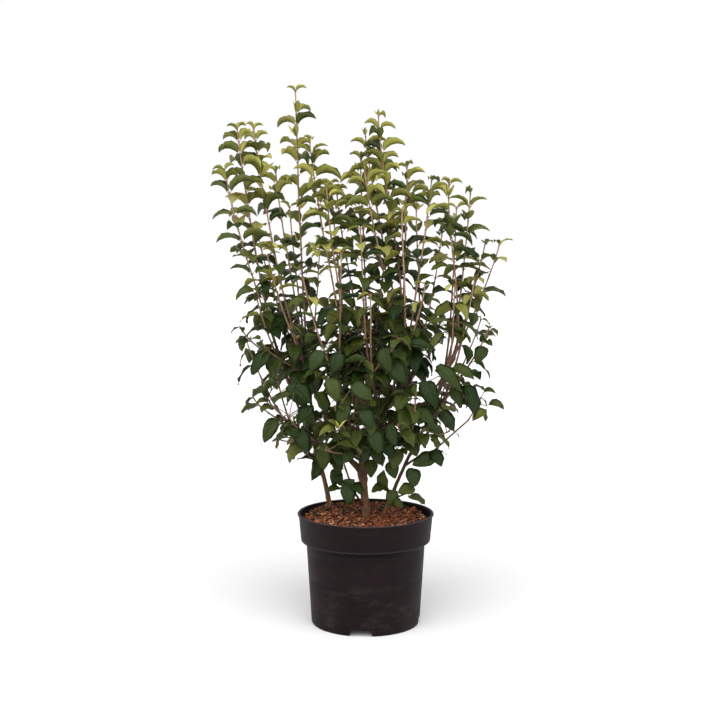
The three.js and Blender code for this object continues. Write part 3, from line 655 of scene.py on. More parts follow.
# Masses: the limb that carries each, how far along it, and the tips of its shoots, the leader's first
masses = {
    "far_left_wands": ("left_stem", 1, [(-260, 20, 1010), (-280, -40, 925), (-217, -45, 672), (-254, -10, 610)]),
    "left_wands": ("bough_left", 1, [(-230, 60, 1014), (-192, -90, 756), (-205, -105, 590)]),
    "tall_left_wands": ("bough_tall_left", 1, [(-144, 66, 1092), (-190, 140, 930)]),
    "centre_left_wands": ("bough_centre_left", 1, [(-113, 0, 986), (-79, -40, 893), (-71, 50, 900)]),
    "front_left_wands": ("bough_front_left", 1, [(-121, -120, 712), (-97, -160, 628), (-47, -140, 762)]),
    "front_wands": ("bough_front", 1, [(-11, -110, 808), (8, -160, 684), (60, -185, 600)]),
    "centre_spire_wands": ("bough_centre", 1, [(25, 0, 1034), (-3, -50, 924), (-1, 60, 1001), (84, 30, 935)]),
    "centre_right_wands": ("bough_centre_right", 1, [(71, -80, 843), (133, 20, 907), (112, -150, 700)]),
    "right_wands": ("bough_right", 1, [(165, -30, 898), (210, -10, 880), (172, -120, 700)]),
    "far_right_wands": ("bough_far_right", 1, [(238, -30, 780), (273, 30, 780), (188, 70, 854)]),
    "right_stem_wands": ("right_stem", 1, [(243, -60, 611), (212, -90, 712), (220, 10, 520)]),
    "low_right_wands": ("bough_low_right", 1, [(228, -72, 474), (205, -120, 420), (220, 0, 400), (175, -90, 350)]),
    "low_left_wands": ("bough_low_left", 1, [(-198, -60, 474), (-150, -140, 450), (-172, -75, 392),
                                             (-112, -150, 392), (-138, -20, 360)]),
    "low_front_wands": ("bough_low_front", 1, [(-60, -170, 470), (10, -190, 455), (-90, -140, 390),
                                               (45, -155, 370), (-50, -165, 340)]),
    "low_front_right_wands": ("bough_low_front_right", 1, [(96, -180, 510), (150, -150, 450), (60, -175, 435),
                                                           (120, -150, 375), (165, -90, 410)]),
    "back_centre_wands": ("bough_back", 1, [(-10, 150, 960), (51, 90, 850), (-60, 130, 880)]),
    "back_right_wands": ("bough_back_right", 1, [(112, 200, 880), (165, 160, 800), (70, 260, 770)]),
    "back_left_wands": ("bough_back_left", 1, [(-165, 210, 860), (-230, 150, 800), (-100, 240, 790)]),
    "low_back_wands": ("bough_low_back", 1, [(-20, 265, 620), (60, 240, 540), (-80, 225, 500), (0, 230, 430)]),
    "low_back_left_wands": ("bough_low_back_left", 1, [(-255, 120, 580), (-200, 205, 520), (-235, 60, 460)]),
    "low_back_right_wands": ("bough_low_back_right", 1, [(245, 110, 620), (190, 190, 550), (225, 70, 480)]),
    "low_twig": ("trunk", 0.3, [(-64, -56, 424), (-98, -66, 318), (-52, -66, 272)]),
    "low_sprig": ("right_stem", 0.2, [(94, -52, 290), (66, -58, 262), (112, 0, 262)]),
}
pieceGroups = {
    "left": ["far_left_wands", "left_wands", "tall_left_wands", "back_left_wands", "low_back_left_wands"],
    "centre": ["centre_left_wands", "front_left_wands", "front_wands", "centre_spire_wands", "back_centre_wands"],
    "right": ["centre_right_wands", "right_wands", "far_right_wands", "right_stem_wands", "back_right_wands",
              "low_back_right_wands"],
    "low": ["low_right_wands", "low_left_wands", "low_front_wands", "low_front_right_wands", "low_back_wands",
            "low_twig", "low_sprig"],
}
# Masses that differ from the rest: the size of their leaves, how much further apart the sprigs are in the open
# ones, which also miss more leaves, how much of a leader is bare, how much further apart a leader's first leaves
# are, and which masses stand so low that their sprigs start lower
smallLeaved = {"low_right_wands": 0.85}
openMasses = {"right_stem_wands": 9, "low_back_right_wands": 9, "far_right_wands": 5, "low_right_wands": 2.5,
              "low_back_left_wands": 3, "far_left_wands": 3, "low_left_wands": 1.6, "back_right_wands": 2,
              "left_wands": 1.7, "back_left_wands": 2.5, "tall_left_wands": 2, "low_twig": 9, "low_sprig": 9}
bareLeaders = {"low_right_wands": 0.6}
sparseTips = {"tall_left_wands": 1.9}
footMasses = ("low_twig", "low_sprig")

wandSet = {"foot": 2.6, "branchFoot": 2.3, "tip": 1.25, "sides": 6, "sprigSides": 4, "heel": 0.3, "rise": 0.7,
           "firstBranch": 0.06, "nextBranch": 0.05, "branchPull": 0.6, "taper": 0.8, "swelling": 0.3,
           "swellingReach": 2.2, "shortestStep": 0.8, "wander": 1.2, "wanderLength": 60, "wanderStart": 8,
           "seedStep": 17, "seedStart": 5}
sprigSet = {"every": 62, "everyLow": 36, "everyBough": 30, "lowest": 0.04, "highest": 0.62, "shortest": 30,
            "longest": 90, "reachSpread": 0.6, "foot": 1.1, "tip": 0.6, "outShare": 0.76, "upShare": 0.36,
            "turn": 2.4, "floor": 318, "floorLow": 236, "ceiling": 600, "strayCeiling": 820, "stray": 0.2,
            "young": 0.15, "youngMore": 2, "youngMoreAbove": 560}
# Leaves on their shoots. "bare" is the bare share of a leader, of a branch and of a sprig; "ageSpread" and
# "youngerBy" have one value for low leaves and one for high leaves.
habit = {"firstSeed": 17, "firstPair": 4, "spacingSpread": 0.25, "bare": (0.22, 0.1, 0.12), "youngSpacing": 0.75,
         "turnSpread": 0.9, "tipSizes": [0.5, 0.78, 0.95], "sprigSizes": [0.7, 0.92], "sizeSpread": 0.36,
         "youngSize": 0.62, "missing": 0.08, "missingOpen": 2.5, "missingSprig": 0.06, "middle": 28,
         "crownCentre": -10, "crownRadius": 150, "formSpread": 0.9, "highAbove": 600, "ageSpread": (0.3, 1.0),
         "youngerBy": (0.25, 0.45), "tipYounger": 0.3}
stalkSet = {"length": 7, "fullLeaf": 40, "radius": 0.55, "foot": 1.3, "end": 0.8, "sides": 4, "out": 0.8,
            "rise": 0.4, "along": 0.2, "start": 0.6, "age": 0.25, "ring": 0.25}
budSet = {"side": (1.0, 1.7), "tip": (1.3, 2.6), "rise": 1.4, "out": 0.7, "above": 2}
shootAge = {"oldest": 1.0, "youngest": 0.1, "from": 400, "over": 500, "ring": 0.7}
# Corners of the boxes where no leaves grow by the rule, so the trunk, its fork and the low leaves show
clearBoxes = [((-42, -260, 0), (26, 4, 388)), ((-130, -260, 0), (150, 20, 340)),
              ((-20, -260, 440), (44, -98, 640)), ((-120, -260, 500), (-64, -104, 640)),
              ((162, -260, 300), (330, 320, 428)), ((178, -20, 515), (240, 320, 610))]
# Corners of the more open parts of the crown, and the share of leaves missing in each
openParts = [
    ((-320, -260, 330), (320, 320, 640), 0.2), ((150, -260, 425), (320, 320, 660), 0.78),
    ((150, -260, 330), (320, 320, 425), 0.9), ((-320, -260, 330), (-165, 320, 600), 0.66),
    ((-180, -260, 800), (-136, 320, 965), 0.75), ((-90, -260, 665), (-50, 320, 760), 0.8),
    ((72, -260, 660), (114, 320, 760), 0.85), ((-205, 110, 760), (-125, 320, 900), 0.6),
    ((-94, -260, 760), (-50, 320, 840), 0.4), ((-190, -260, 365), (-135, 320, 428), 0.8),
    ((66, -260, 735), (110, 320, 840), 0.7), ((235, -260, 640), (320, 320, 730), 0.6),
]
# How the leaves change with height: tilt in degrees, its spread, length, spacing, form number, age,
# twist spread, and pull towards the outside of the crown
storeys = [
    (270, -16, 64, 40, 24, 0.0, 0.72, 1.1, 0.9),
    (400, -26, 64, 49, 26, 0.1, 0.84, 1.1, 0.9),
    (520, -34, 64, 56, 28, 0.3, 0.92, 1.0, 0.8),
    (620, -20, 56, 54, 38, 0.8, 0.77, 0.9, 0.4),
    (700, -8, 50, 50, 39, 1.1, 0.6, 0.7, 0.2),
    (790, 4, 46, 53, 30, 1.7, 0.44, 0.6, 0.1),
    (860, 12, 42, 52, 25, 2.7, 0.28, 0.6, 0.0),
    (1110, 14, 36, 47, 23, 3.2, 0.0, 0.5, 0.0),
]
spacingColumn = 3


def storeyAt(height):
    for low, high in zip(storeys, storeys[1:]):
        if height < high[0]:
            break
    share = (height - low[0]) / (high[0] - low[0])
    return [between(a, b, share) for a, b in zip(low[1:], high[1:])]


def wandLine(foot, heading, tip, seed):
    reach = (tip - foot).length
    lean = ((tip - foot).normalized() + up * wandSet["rise"]).normalized()
    bends = foot + heading * wandSet["heel"] * reach, tip - lean * wandSet["heel"] * reach

    def placeAt(t):
        place = ((1 - t) ** 3 * foot + 3 * (1 - t) ** 2 * t * bends[0]
                 + 3 * (1 - t) * t * t * bends[1] + t ** 3 * tip)
        wander = noise.noise_vector(Vector((seed, 0.5, reach * t / wandSet["wanderLength"]))) * wandSet["wander"]
        return place + wander * min(1, wandSet["wanderStart"] * t)

    return Line(placeAt)


def wandLines(mass):  # the leader goes on from its limb, and the others branch from the leader
    on, at, tips = masses[mass]
    limb = limbs[on]
    leaderTip, *otherTips = [Vector(tip) for tip in tips]
    foot = limb.pointAt(at)
    heading = limb.headingAt(1)
    if at < 1:
        level = (leaderTip - foot) * Vector((1, 1, 0))
        heading = (level.normalized() + up).normalized()
    seed = sum(tips[0])
    leader = wandLine(foot, heading, leaderTip, seed)
    lines = [leader]
    for i, tip in enumerate(otherTips):
        share = wandSet["firstBranch"] + wandSet["nextBranch"] * i
        branching = leader.pointAt(share)
        away = (tip - branching).normalized()
        start = (leader.headingAt(share) * wandSet["branchPull"] + away).normalized()
        lines.append(wandLine(branching, start, tip, seed + wandSet["seedStep"] * i + wandSet["seedStart"]))
    return lines


def isInside(point, lows, highs):
    return all(low < place < high for low, place, high in zip(lows, point, highs))


def isClear(point):
    return any(isInside(point, *corners) for corners in clearBoxes)


def missingAt(point, missing):
    return max([missing] + [share for *corners, share in openParts if isInside(point, *corners)])


# Short twigs up a shoot as far as the given share of it, each a golden angle round from the one before
def sprigLines(line, every, highest, floor, dice):
    count = int(line.length * (highest - sprigSet["lowest"]) / every)
    turn = 2 * pi * dice()
    found = []
    for i in range(count):
        share = between(sprigSet["lowest"], highest, (i + dice()) / count)
        foot = line.pointAt(share)
        heading = line.headingAt(share)
        outward = sideOf(heading, turn + i * sprigSet["turn"])
        reach = between(sprigSet["longest"], sprigSet["shortest"], share + sway(dice, sprigSet["reachSpread"]))
        tip = foot + outward * sprigSet["outShare"] * reach + up * sprigSet["upShare"] * reach
        ceiling = sprigSet["strayCeiling" if dice() < sprigSet["stray"] else "ceiling"]
        if floor < foot.z < ceiling and not isClear(foot) and not isClear(tip):
            found.append(wandLine(foot, (outward + heading).normalized(), tip, foot.z))
    return found


# Leaves: a few blades are shaped once, from the flat hanging ones low down to the folded ones at the tips
leafForms = [
    {"width": 0.76, "fold": 15, "lift": 24, "curl": 60, "widest": 0.68, "round": 0.57, "wave": 0.05},
    {"width": 0.71, "fold": 24, "lift": 30, "curl": 76, "widest": 0.68, "round": 0.66, "wave": 0.035},
    {"width": 0.72, "fold": 38, "lift": 38, "curl": 88, "widest": 0.74, "round": 0.7, "wave": 0.015},
    {"width": 0.72, "fold": 60, "lift": 42, "curl": 96, "widest": 0.76, "round": 0.72, "wave": 0.01},
]
# Blades, in shares of their length: "cup" hollows each half, "bend" turns the variants' tips aside, "phase" moves
# each variant's wave along, "pointed" draws the tip in, and "edgeFade" says how fast the thickness fades to the ends
bladeSet = {"rows": 7, "columns": 4, "variants": 4, "thickness": 0.012, "cup": 0.12, "bend": 0.09, "phase": 2.1,
            "pointed": 0.42, "edgeFade": 6, "weld": 1e-4}


def shapeBlade(form, variant):  # a blade one unit long, with its underside as a second skin
    bm = bmesh.new()
    bm.loops.layers.uv.new("UVMap")
    bmesh.ops.create_grid(bm, x_segments=bladeSet["rows"], y_segments=bladeSet["columns"], size=0.5, calc_uvs=True)
    lift, curl, fold = radians(form["lift"]), radians(form["curl"]), radians(form["fold"])
    bend = bladeSet["bend"] * (variant - (bladeSet["variants"] - 1) / 2)
    under = bmesh.ops.duplicate(bm, geom=bm.faces[:])
    underFaces = [item for item in under["geom"] if isinstance(item, bmesh.types.BMFace)]
    bmesh.ops.reverse_faces(bm, faces=underFaces)
    underVerts = {vert for face in underFaces for vert in face.verts}
    for face in underFaces:
        face.material_index = 1
    for vert in bm.verts:
        t, across = vert.co.x + 0.5, 2 * vert.co.y
        t = 0.5 - 0.5 * cos(pi * t) if t < 1 else 1.0  # more rows near the ends
        half = form["width"] / 2 * max(0, sin(pi * t ** form["widest"])) ** form["round"]
        half *= 1 - bladeSet["pointed"] * t ** 4
        slope = lift - curl * t
        spine = Vector(((sin(lift) - sin(slope)) / curl, 0, (cos(slope) - cos(lift)) / curl))
        normal = Vector((-sin(slope), 0, cos(slope)))
        rise = half * abs(across) * sin(fold) - bladeSet["cup"] * half * across * across
        rise += form["wave"] * sin(4 * pi * t + bladeSet["phase"] * variant) * across
        if vert in underVerts:
            rise -= bladeSet["thickness"] * (1 - abs(across)) * min(1, bladeSet["edgeFade"] * t * (1 - t))
        vert.co = spine + normal * rise + Vector((0, half * across * cos(fold) + bend * t * t, 0))
    bmesh.ops.remove_doubles(bm, verts=bm.verts, dist=bladeSet["weld"])
    for face in bm.faces:
        face.smooth = True
    mesh = toMesh(bm, "blade")
    for name in ("age", "tint"):
        mesh.attributes.new(name, "FLOAT", "POINT")
    return mesh


blades = [[shapeBlade(form, variant) for variant in range(bladeSet["variants"])] for form in leafForms]


def leafFrame(root, outward, tilt, twist, length):
    level = Vector((outward.x, outward.y, 0)).normalized()
    along = level * cos(tilt) + up * sin(tilt)
    across = Matrix.Rotation(twist, 3, along) @ up.cross(along).normalized()
    turn = Matrix((along, across, along.cross(across))).transposed().to_4x4()
    return Matrix.Translation(root * mm) @ turn @ Matrix.Scale(length * mm, 4)


def addBlade(crown, form, variantDraw, matrix, age, tint):
    copy = blades[form][int(variantDraw * bladeSet["variants"])].copy()
    copy.transform(matrix)
    for name, value in (("age", age), ("tint", tint)):
        copy.attributes[name].data.foreach_set("value", [value] * len(copy.vertices))
    crown["leaves"].from_mesh(copy)
    bpy.data.meshes.remove(copy)


def addStalk(crown, start, end):  # a leaf's stalk, a thin tapered cone
    way = end - start
    turn = way.to_track_quat("Z", "Y").to_matrix().to_4x4()
    radius = stalkSet["radius"] * mm
    made = bmesh.ops.create_cone(crown["twigs"], cap_ends=True, segments=stalkSet["sides"],
                                 radius1=radius * stalkSet["foot"], radius2=radius * stalkSet["end"],
                                 depth=way.length * mm, matrix=Matrix.Translation((start + end) / 2 * mm) @ turn)
    for vert in made["verts"]:
        vert[crown["age"]] = stalkSet["age"]
        vert[crown["ring"]] = stalkSet["ring"]


def addBud(crown, place, outward, size):  # a pointed bud of scales at a tip or in a leaf's armpit
    turn = (outward + up * budSet["rise"]).to_track_quat("Z", "Y").to_matrix().to_4x4()
    matrix = Matrix.Translation(place * mm) @ turn @ Matrix.Diagonal((size[0], size[0], size[1], 1))
    bmesh.ops.create_icosphere(crown["buds"], subdivisions=1, radius=mm, matrix=matrix)


# Leaves that stand out near the camera: the place of the foot, where the tip points to (x and z), form, age
# These ages are partly real and partly painted shade: the hanging leaves are set old and dark because the crown above
# shades them
posedLeaves = [
    ((33, -50, 290), (9, 286), 0, 0.7), ((37, -46, 283), (39, 326), 0, 0.85),
    ((55, -60, 286), (43, 254), 0, 0.75), ((57, -70, 270), (71, 252), 0, 0.7),
    ((95, -60, 294), (67, 278), 0, 0.65), ((85, -70, 276), (121, 262), 0, 0.55),
    ((93, -66, 332), (95, 293), 0, 0.8), ((136, -72, 359), (94, 335), 0, 0.8),
    ((134, -70, 369), (148, 335), 0, 0.85), ((47, -60, 345), (65, 313), 0, 0.85),
    ((60, -80, 373), (62, 332), 0, 0.75), ((7, -40, 344), (13, 309), 0, 0.85),
    ((76, -90, 392), (103, 360), 0, 0.8), ((36, -96, 391), (50, 355), 0, 0.85),
    ((-87, -70, 385), (-89, 327), 0, 0.85), ((-100, -40, 344), (-102, 299), 1, 0.8),
    ((-53, -66, 293), (-77, 287), 0, 0.7), ((-37, -72, 301), (-35, 258), 0, 0.7),
    ((-29, -70, 302), (-5, 280), 0, 0.7), ((-41, -66, 295), (-25, 314), 0, 0.65),
    ((-46, -60, 300), (-66, 319), 0, 0.8), ((-56, -50, 325), (-70, 296), 0, 0.85),
    ((-127, -60, 381), (-158, 341), 2, 0.35), ((-125, -66, 392), (-113, 362), 0, 0.8),
    ((-68, -40, 348), (-52, 315), 0, 0.9), ((-57, -150, 392), (-3, 384), 1, 0.45),
    ((12, -150, 421), (26, 374), 0, 0.85), ((-31, -120, 377), (-40, 350), 0, 0.9),
    ((-164, -110, 427), (-127, 399), 0, 0.8), ((-178, -80, 433), (-208, 387), 1, 0.7),
    ((-131, -110, 415), (-113, 372), 0, 0.85), ((-57, -165, 421), (-95, 418), 2, 0.1),
    ((-53, -165, 427), (-36, 450), 2, 0.1), ((-57, -165, 427), (-74, 443), 2, 0.15),
    ((-49, -165, 420), (-30, 408), 1, 0.3), ((196, -80, 498), (224, 435), 0, 0.85),
    ((243, -72, 460), (276, 452), 2, 0.5), ((237, -72, 446), (209, 428), 2, 0.25),
    ((237, -55, 574), (214, 542), 0, 0.9), ((239, -52, 583), (227, 601), 1, 0.6),
    ((241, -52, 585), (253, 579), 1, 0.6), ((146, -90, 448), (180, 414), 0, 0.8),
    ((166, -90, 492), (190, 458), 0, 0.85), ((96, -130, 459), (136, 428), 0, 0.75),
    ((113, -130, 514), (134, 461), 0, 0.9), ((136, -120, 540), (187, 497), 0, 0.9),
    ((169, -100, 536), (214, 512), 1, 0.85), ((79, -150, 585), (136, 581), 1, 0.85),
    ((33, -165, 581), (41, 533), 0, 0.9), ((46, -160, 557), (77, 513), 0, 0.9),
    ((-190, -110, 570), (-220, 521), 0, 0.85), ((-68, -170, 524), (-55, 476), 0, 0.8),
    ((-53, -165, 571), (-57, 531), 0, 0.85), ((-87, -165, 577), (-100, 535), 0, 0.8),
    ((-115, -120, 666), (-152, 654), 2, 0.2), ((-220, -70, 683), (-261, 672), 2, 0.35),
    ((-178, -130, 469), (-133, 492), 1, 0.7), ((-194, -70, 463), (-220, 465), 2, 0.2),
    ((-194, -70, 473), (-206, 489), 1, 0.6), ((-190, -70, 459), (-206, 447), 1, 0.5),
    ((-136, -140, 507), (-104, 474), 0, 0.85), ((-26, -170, 511), (12, 478), 0, 0.85),
    ((-38, -165, 472), (-51, 433), 0, 0.75), ((43, -140, 429), (62, 392), 0, 0.8),
    ((-107, -140, 468), (-127, 431), 0, 0.85), ((-7, -170, 463), (12, 428), 0, 0.9),
    ((-150, -100, 505), (-118, 455), 0, 0.85), ((-95, -110, 490), (-78, 445), 0, 0.8),
    ((-125, -90, 456), (-97, 424), 0, 0.85), ((-26, -80, 382), (-12, 346), 0, 0.9),
    ((-62, -60, 372), (-50, 333), 0, 0.85), ((234, -72, 484), (258, 487), 2, 0.35),
    ((-4, -84, 384), (5, 349), 0, 0.9), ((15, -82, 378), (24, 341), 0, 0.85),
]
# "front" is how far the tip comes forward, "room" what is kept free beside each leaf, behind it and above it,
# "hanging" and "level" the way that a leaf faces which points down or sideways, and "widths" how wide a short
# and a long leaf are made for their length
posedSet = {"front": 12, "room": (19, 6, 19), "hanging": (0, -1, 0.45), "level": (0, -0.45, 1),
            "facingSpread": (1.3, 0.7), "widths": (1.12, 0.66), "widthsFrom": 32, "widthsOver": 38,
            "widthSpread": 0.12, "ageSpread": 0.5, "seed": 211}
posedTwig = {"foot": 1.1, "tip": 0.7, "sides": 5, "step": 10, "rise": 0.6, "age": 0.85, "lowestFoot": 225,
             "downhill": 0.6, "anchors": 40}


def hidesPosed(place):  # whether a place is in front of or close to a leaf that stands out
    besides, behind, above = posedSet["room"]
    return any(place.y < root[1] + behind and abs(place.x - (root[0] + tip[0]) / 2) < besides
               and abs(place.z - (root[2] + tip[1]) / 2) < above for root, tip, *_ in posedLeaves)


def newCrown(*kinds):
    crown = {kind: bmesh.new() for kind in kinds}
    crown["twigs"].loops.layers.uv.new("UVMap")
    for name in ("age", "ring"):
        crown[name] = crown["twigs"].verts.layers.float.new(name)
    return crown


def pairsOn(line, bare, spacing, sparse, dice):  # where the pairs of leaves sit on a line, from its tip down
    nodes, back = [], habit["firstPair"]
    while back < line.length * (1 - bare):
        nodes.append(1 - back / line.length)
        gap = storeyAt(line.pointAt(nodes[-1]).z)[spacingColumn] * spacing
        back += gap * (sparse if len(nodes) < 2 else 1) * (1 + sway(dice, habit["spacingSpread"]))
    return nodes


def ringsOn(line, nodes):  # where a shoot has rings of its mesh: round each pair of leaves, between them, at the ends
    reach = wandSet["swellingReach"] / line.length
    rings = {0.0, 1.0} | {(a + b) / 2 for a, b in zip(nodes, nodes[1:])}
    for share in nodes:
        rings |= {max(0, share - reach), share, min(1, share + reach)}
    kept = []
    for share in sorted(rings):
        if not kept or (share - kept[-1]) * line.length > wandSet["shortestStep"]:
            kept.append(share)
    return kept


grownLines = []  # every shoot, for the twigs of the leaves that stand out


# One shoot with its pairs of leaves, their stalks and its buds. Order 0 is a mass's leader, 1 a branch of it and
# 2 a sprig. "bare" is the share of it without leaves, "missing" the share of its leaves that are missing, and
# "sparse" how much further apart its first leaves are.
def growShoot(crown, line, foot, tip, order, dice, leafScale, young, bare, missing, sparse):
    spacing = leafScale * (habit["youngSpacing"] if young else 1)
    nodes = pairsOn(line, bare, spacing, sparse, dice)
    leafed = [share for share in nodes if not (isClear(line.pointAt(share)) or hidesPosed(line.pointAt(share)))]
    if order and len(leafed) < min(2, len(nodes)):
        return
    if order and leafed and leafed[0] < nodes[0]:  # a shoot ends at its highest pair that may show
        whole, cut = line, leafed[0]
        line = Line(lambda t: whole.pointAt(t * cut))
        nodes = [share / cut for share in leafed]
    grownLines.append(line)

    def nearNode(share):
        return max([exp(-((share - node) * line.length / wandSet["swellingReach"]) ** 2) for node in nodes],
                   default=0)

    def radiusAt(share):
        return between(foot, tip, share ** wandSet["taper"]) * (1 + wandSet["swelling"] * nearNode(share))

    sides = wandSet["sides" if order < 2 else "sprigSides"]
    start, end = line.pointAt(0), line.pointAt(1)
    for vert in addBar(crown["twigs"], line, radiusAt, sides, ringsOn(line, nodes)):
        share = (vert.co / mm - start).length / max(1, (end - start).length)
        height = (vert.co.z / mm - shootAge["from"]) / shootAge["over"]
        vert[crown["age"]] = between(shootAge["oldest"], shootAge["youngest"], (share + height) / 2)
        vert[crown["ring"]] = shootAge["ring"] * nearNode(min(1, share))

    turn = pi * dice()
    if order < 2:
        for half in (0, 1):
            addBud(crown, end, sideOf(line.headingAt(1), turn + half * pi), budSet["tip"])
    for number, share in enumerate(nodes):
        point, heading, radius = line.pointAt(share), line.headingAt(share), radiusAt(share)
        tilt, tiltSpread, length, _, form, age, twistSpread, pull = storeyAt(point.z)
        size = length * leafScale * (habit["youngSize"] if young else 1)
        sizes = habit["sprigSizes" if order == 2 else "tipSizes"]
        if number < len(sizes):
            size *= sizes[number]
        outside = Vector((point.x, point.y - habit["crownCentre"], 0)) / habit["crownRadius"]
        high = point.z > habit["highAbove"]
        for half in (0, 1):
            angle = turn + (number / 2 + half) * pi + sway(dice, habit["turnSpread"])
            outward = (sideOf(heading, angle) + outside * pull).normalized()
            tiltDraw, twistDraw, sizeDraw, ageDraw = [sway(dice, 1) for _ in range(4)]
            missingDraw, variantDraw, tintDraw = [dice() for _ in range(3)]
            middle = point + outward * habit["middle"]
            if isClear(middle) or hidesPosed(middle) or (number > 1 and missingDraw < missingAt(middle, missing)):
                continue
            grown = size * (1 + sizeDraw * habit["sizeSpread"])
            leafForm = round(between(0, len(blades) - 1, (form + ageDraw * habit["formSpread"]) / (len(blades) - 1)))
            leafAge = age + ageDraw * habit["ageSpread"][high]
            leafAge -= habit["tipYounger"] if number < 2 else 0
            leafAge -= habit["youngerBy"][high] if young else 0
            reach = stalkSet["length"] * min(1, grown / stalkSet["fullLeaf"])
            way = outward * stalkSet["out"] + up * stalkSet["rise"] + heading * stalkSet["along"]
            stalkEnd = point + way * reach
            addStalk(crown, point + outward * stalkSet["start"] * radius, stalkEnd)
            if order < 2:
                armpit = point + outward * radius * budSet["out"] + heading * budSet["above"]
                addBud(crown, armpit, outward, budSet["side"])
            leafTilt = radians(tilt + tiltDraw * tiltSpread)
            matrix = leafFrame(stalkEnd, outward, leafTilt, twistDraw * twistSpread, grown)
            addBlade(crown, leafForm, variantDraw, matrix, min(max(leafAge, 0), 1), tintDraw)
            crown["count"] += 1


def growCrown(group):
    crown = newCrown("twigs", "leaves", "buds")
    crown["count"] = 0
    names = list(masses)
    for mass in pieceGroups[group]:
        dice = seededDice(habit["firstSeed"] + names.index(mass))
        leafScale = smallLeaved.get(mass, 1)
        missing = habit["missing"] * (habit["missingOpen"] if mass in openMasses else 1)
        every = sprigSet["everyLow" if mass.startswith("low_") else "every"] * openMasses.get(mass, 1)
        floor = sprigSet["floorLow" if mass in footMasses else "floor"]
        for order, line in enumerate(shootLines[mass]):
            isLeader = order == 0
            foot = wandSet["foot" if isLeader else "branchFoot"] * leafScale ** 2
            bareLeader = isLeader and mass in bareLeaders
            bare = bareLeaders[mass] if bareLeader else habit["bare"][min(order, 1)]
            sparse = sparseTips.get(mass, 1) if isLeader else 1
            growShoot(crown, line, foot, wandSet["tip"], min(order, 1), dice, leafScale, False, bare, missing, sparse)
            twigs = [] if bareLeader else sprigLines(line, every, sprigSet["highest"], floor, dice)
            if isLeader and masses[mass][0].startswith("bough"):
                twigs += sprigLines(limbs[masses[mass][0]], sprigSet["everyBough"], 1, sprigSet["floor"], dice)
            for twig in twigs:
                more = sprigSet["youngMore"] if twig.pointAt(0).z > sprigSet["youngMoreAbove"] else 1
                young = dice() < sprigSet["young"] * more
                growShoot(crown, twig, sprigSet["foot"], sprigSet["tip"], 2, dice, leafScale, young,
                          habit["bare"][2], habit["missingSprig"], 1)
    smoothFaces(crown["twigs"])
    addPiece(f"{group}Twigs", crown["twigs"], "bark", [], "shoot")
    smoothFaces(crown["buds"])
    addPiece(f"{group}Buds", crown["buds"], "bark", [], "bud")
    triangles = 2 * len(crown["leaves"].faces)
    addPiece(f"{group}Leaves", crown["leaves"], "foliage", pieceGroups[group], "leafUpper", "leafUnder")
    print(group, "crown made,", crown["count"], "leaves,", triangles, "triangles")


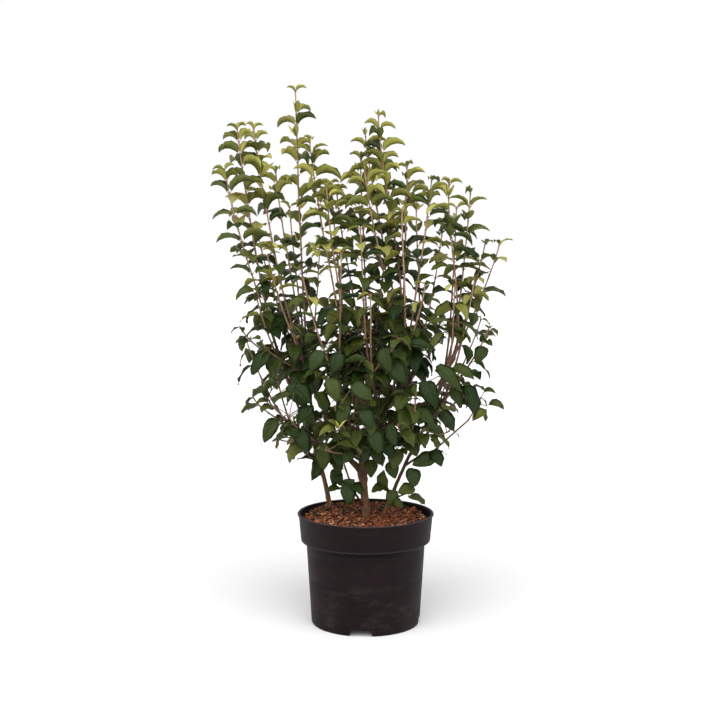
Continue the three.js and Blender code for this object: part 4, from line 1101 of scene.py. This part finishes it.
def growPosed():  # each on a twig of its own from the nearest shoot or limb, rather one below than one above
    crown = newCrown("twigs", "leaves")
    anchors = [line.pointAt(i / posedTwig["anchors"]) for line in grownLines + list(limbs.values())
               for i in range(2, posedTwig["anchors"] - 2)]
    anchors = [place for place in anchors if place.z > posedTwig["lowestFoot"]]
    dice = seededDice(posedSet["seed"])
    for foot, (tipX, tipZ), form, age in posedLeaves:
        root = Vector(foot)
        tip = Vector((tipX, root.y - posedSet["front"], tipZ))
        anchor = min(anchors, key=lambda place: (place - root).length
                     + posedTwig["downhill"] * max(0, place.z - root.z))
        twig = wandLine(anchor, ((root - anchor).normalized() + up * posedTwig["rise"]).normalized(), root, root.x)
        steps = max(3, int(twig.length / posedTwig["step"]))
        for vert in addBar(crown["twigs"], twig, lambda share: between(posedTwig["foot"], posedTwig["tip"], share),
                           posedTwig["sides"], [i / steps for i in range(steps + 1)]):
            vert[crown["age"]] = posedTwig["age"]
        along, reach = (tip - root).normalized(), (tip - root).length
        facing = Vector(posedSet["hanging"]).lerp(Vector(posedSet["level"]), abs(tip.x - root.x) / reach)
        aside, upright = [sway(dice, spread) for spread in posedSet["facingSpread"]]
        facing += Vector((aside, 0, upright))
        face = (facing - along * facing.dot(along)).normalized()
        turn = Matrix((along, face.cross(along), face)).transposed().to_4x4()
        width = between(*posedSet["widths"], (reach - posedSet["widthsFrom"]) / posedSet["widthsOver"])
        width += sway(dice, posedSet["widthSpread"])
        size = Matrix.Diagonal((reach * mm, width * reach * mm, reach * mm, 1))
        matrix = Matrix.Translation(root * mm) @ turn @ size
        variantDraw, ageSway, tintDraw = dice(), sway(dice, posedSet["ageSpread"]), dice()
        addBlade(crown, form, variantDraw, matrix, min(1, age + ageSway), tintDraw)
    smoothFaces(crown["twigs"])
    addPiece("frontTwigs", crown["twigs"], "bark", [], "shoot")
    addPiece("frontLeaves", crown["leaves"], "foliage", [], "leafUpper", "leafUnder")
    print("front leaves made,", len(posedLeaves))


shootLines = {mass: wandLines(mass) for mass in masses}
for group in pieceGroups:
    growCrown(group)
growPosed()


# Studio: a pale floor, white walls all round that dim overhead, and a broad soft key from above the front, a little
# to the left
studio = {"floor": "#f4f4f4", "floorSize": 60, "walls": 1.0, "ceiling": 0.3, "dimFrom": 0.3, "dimTo": 0.7,
          "key": 3.4, "keySoftness": 80, "keyFrom": (-0.03, -0.75, 1.0)}

floorMaterial, _ = newMaterial("paintedFloor", Base_Color=linear(studio["floor"]), Roughness=0.9)
bm = bmesh.new()
bmesh.ops.create_grid(bm, x_segments=1, y_segments=1, size=studio["floorSize"])
floor = putInScene("studioFloor", toMesh(bm, "studioFloor"))
floor.data.materials.append(floorMaterial)

world = bpy.data.worlds.new("studioWorld")
world.use_nodes = True
way = addNode(world, "TexCoord").outputs["Generated"]
height = addNode(world, "SeparateXYZ", links={"Vector": way}).outputs["Z"]
dim = addNode(world, "MapRange", {"From Min": studio["dimFrom"], "From Max": studio["dimTo"],
                                  "To Min": studio["walls"], "To Max": studio["ceiling"]}, {"Value": height})
background = world.node_tree.nodes["Background"]
background.inputs["Color"].default_value = (1, 1, 1, 1)
connect(world, background, {"Strength": dim})
bpy.context.scene.world = world

keyData = bpy.data.lights.new("keyLight", "SUN")
keyData.energy = studio["key"]
keyData.angle = radians(studio["keySoftness"])
key = putInScene("keyLight", keyData)
key.rotation_euler = (-Vector(studio["keyFrom"])).to_track_quat("-Z", "Y").to_euler()
bpy.context.scene.view_settings.view_transform = "Standard"
print("studio made")
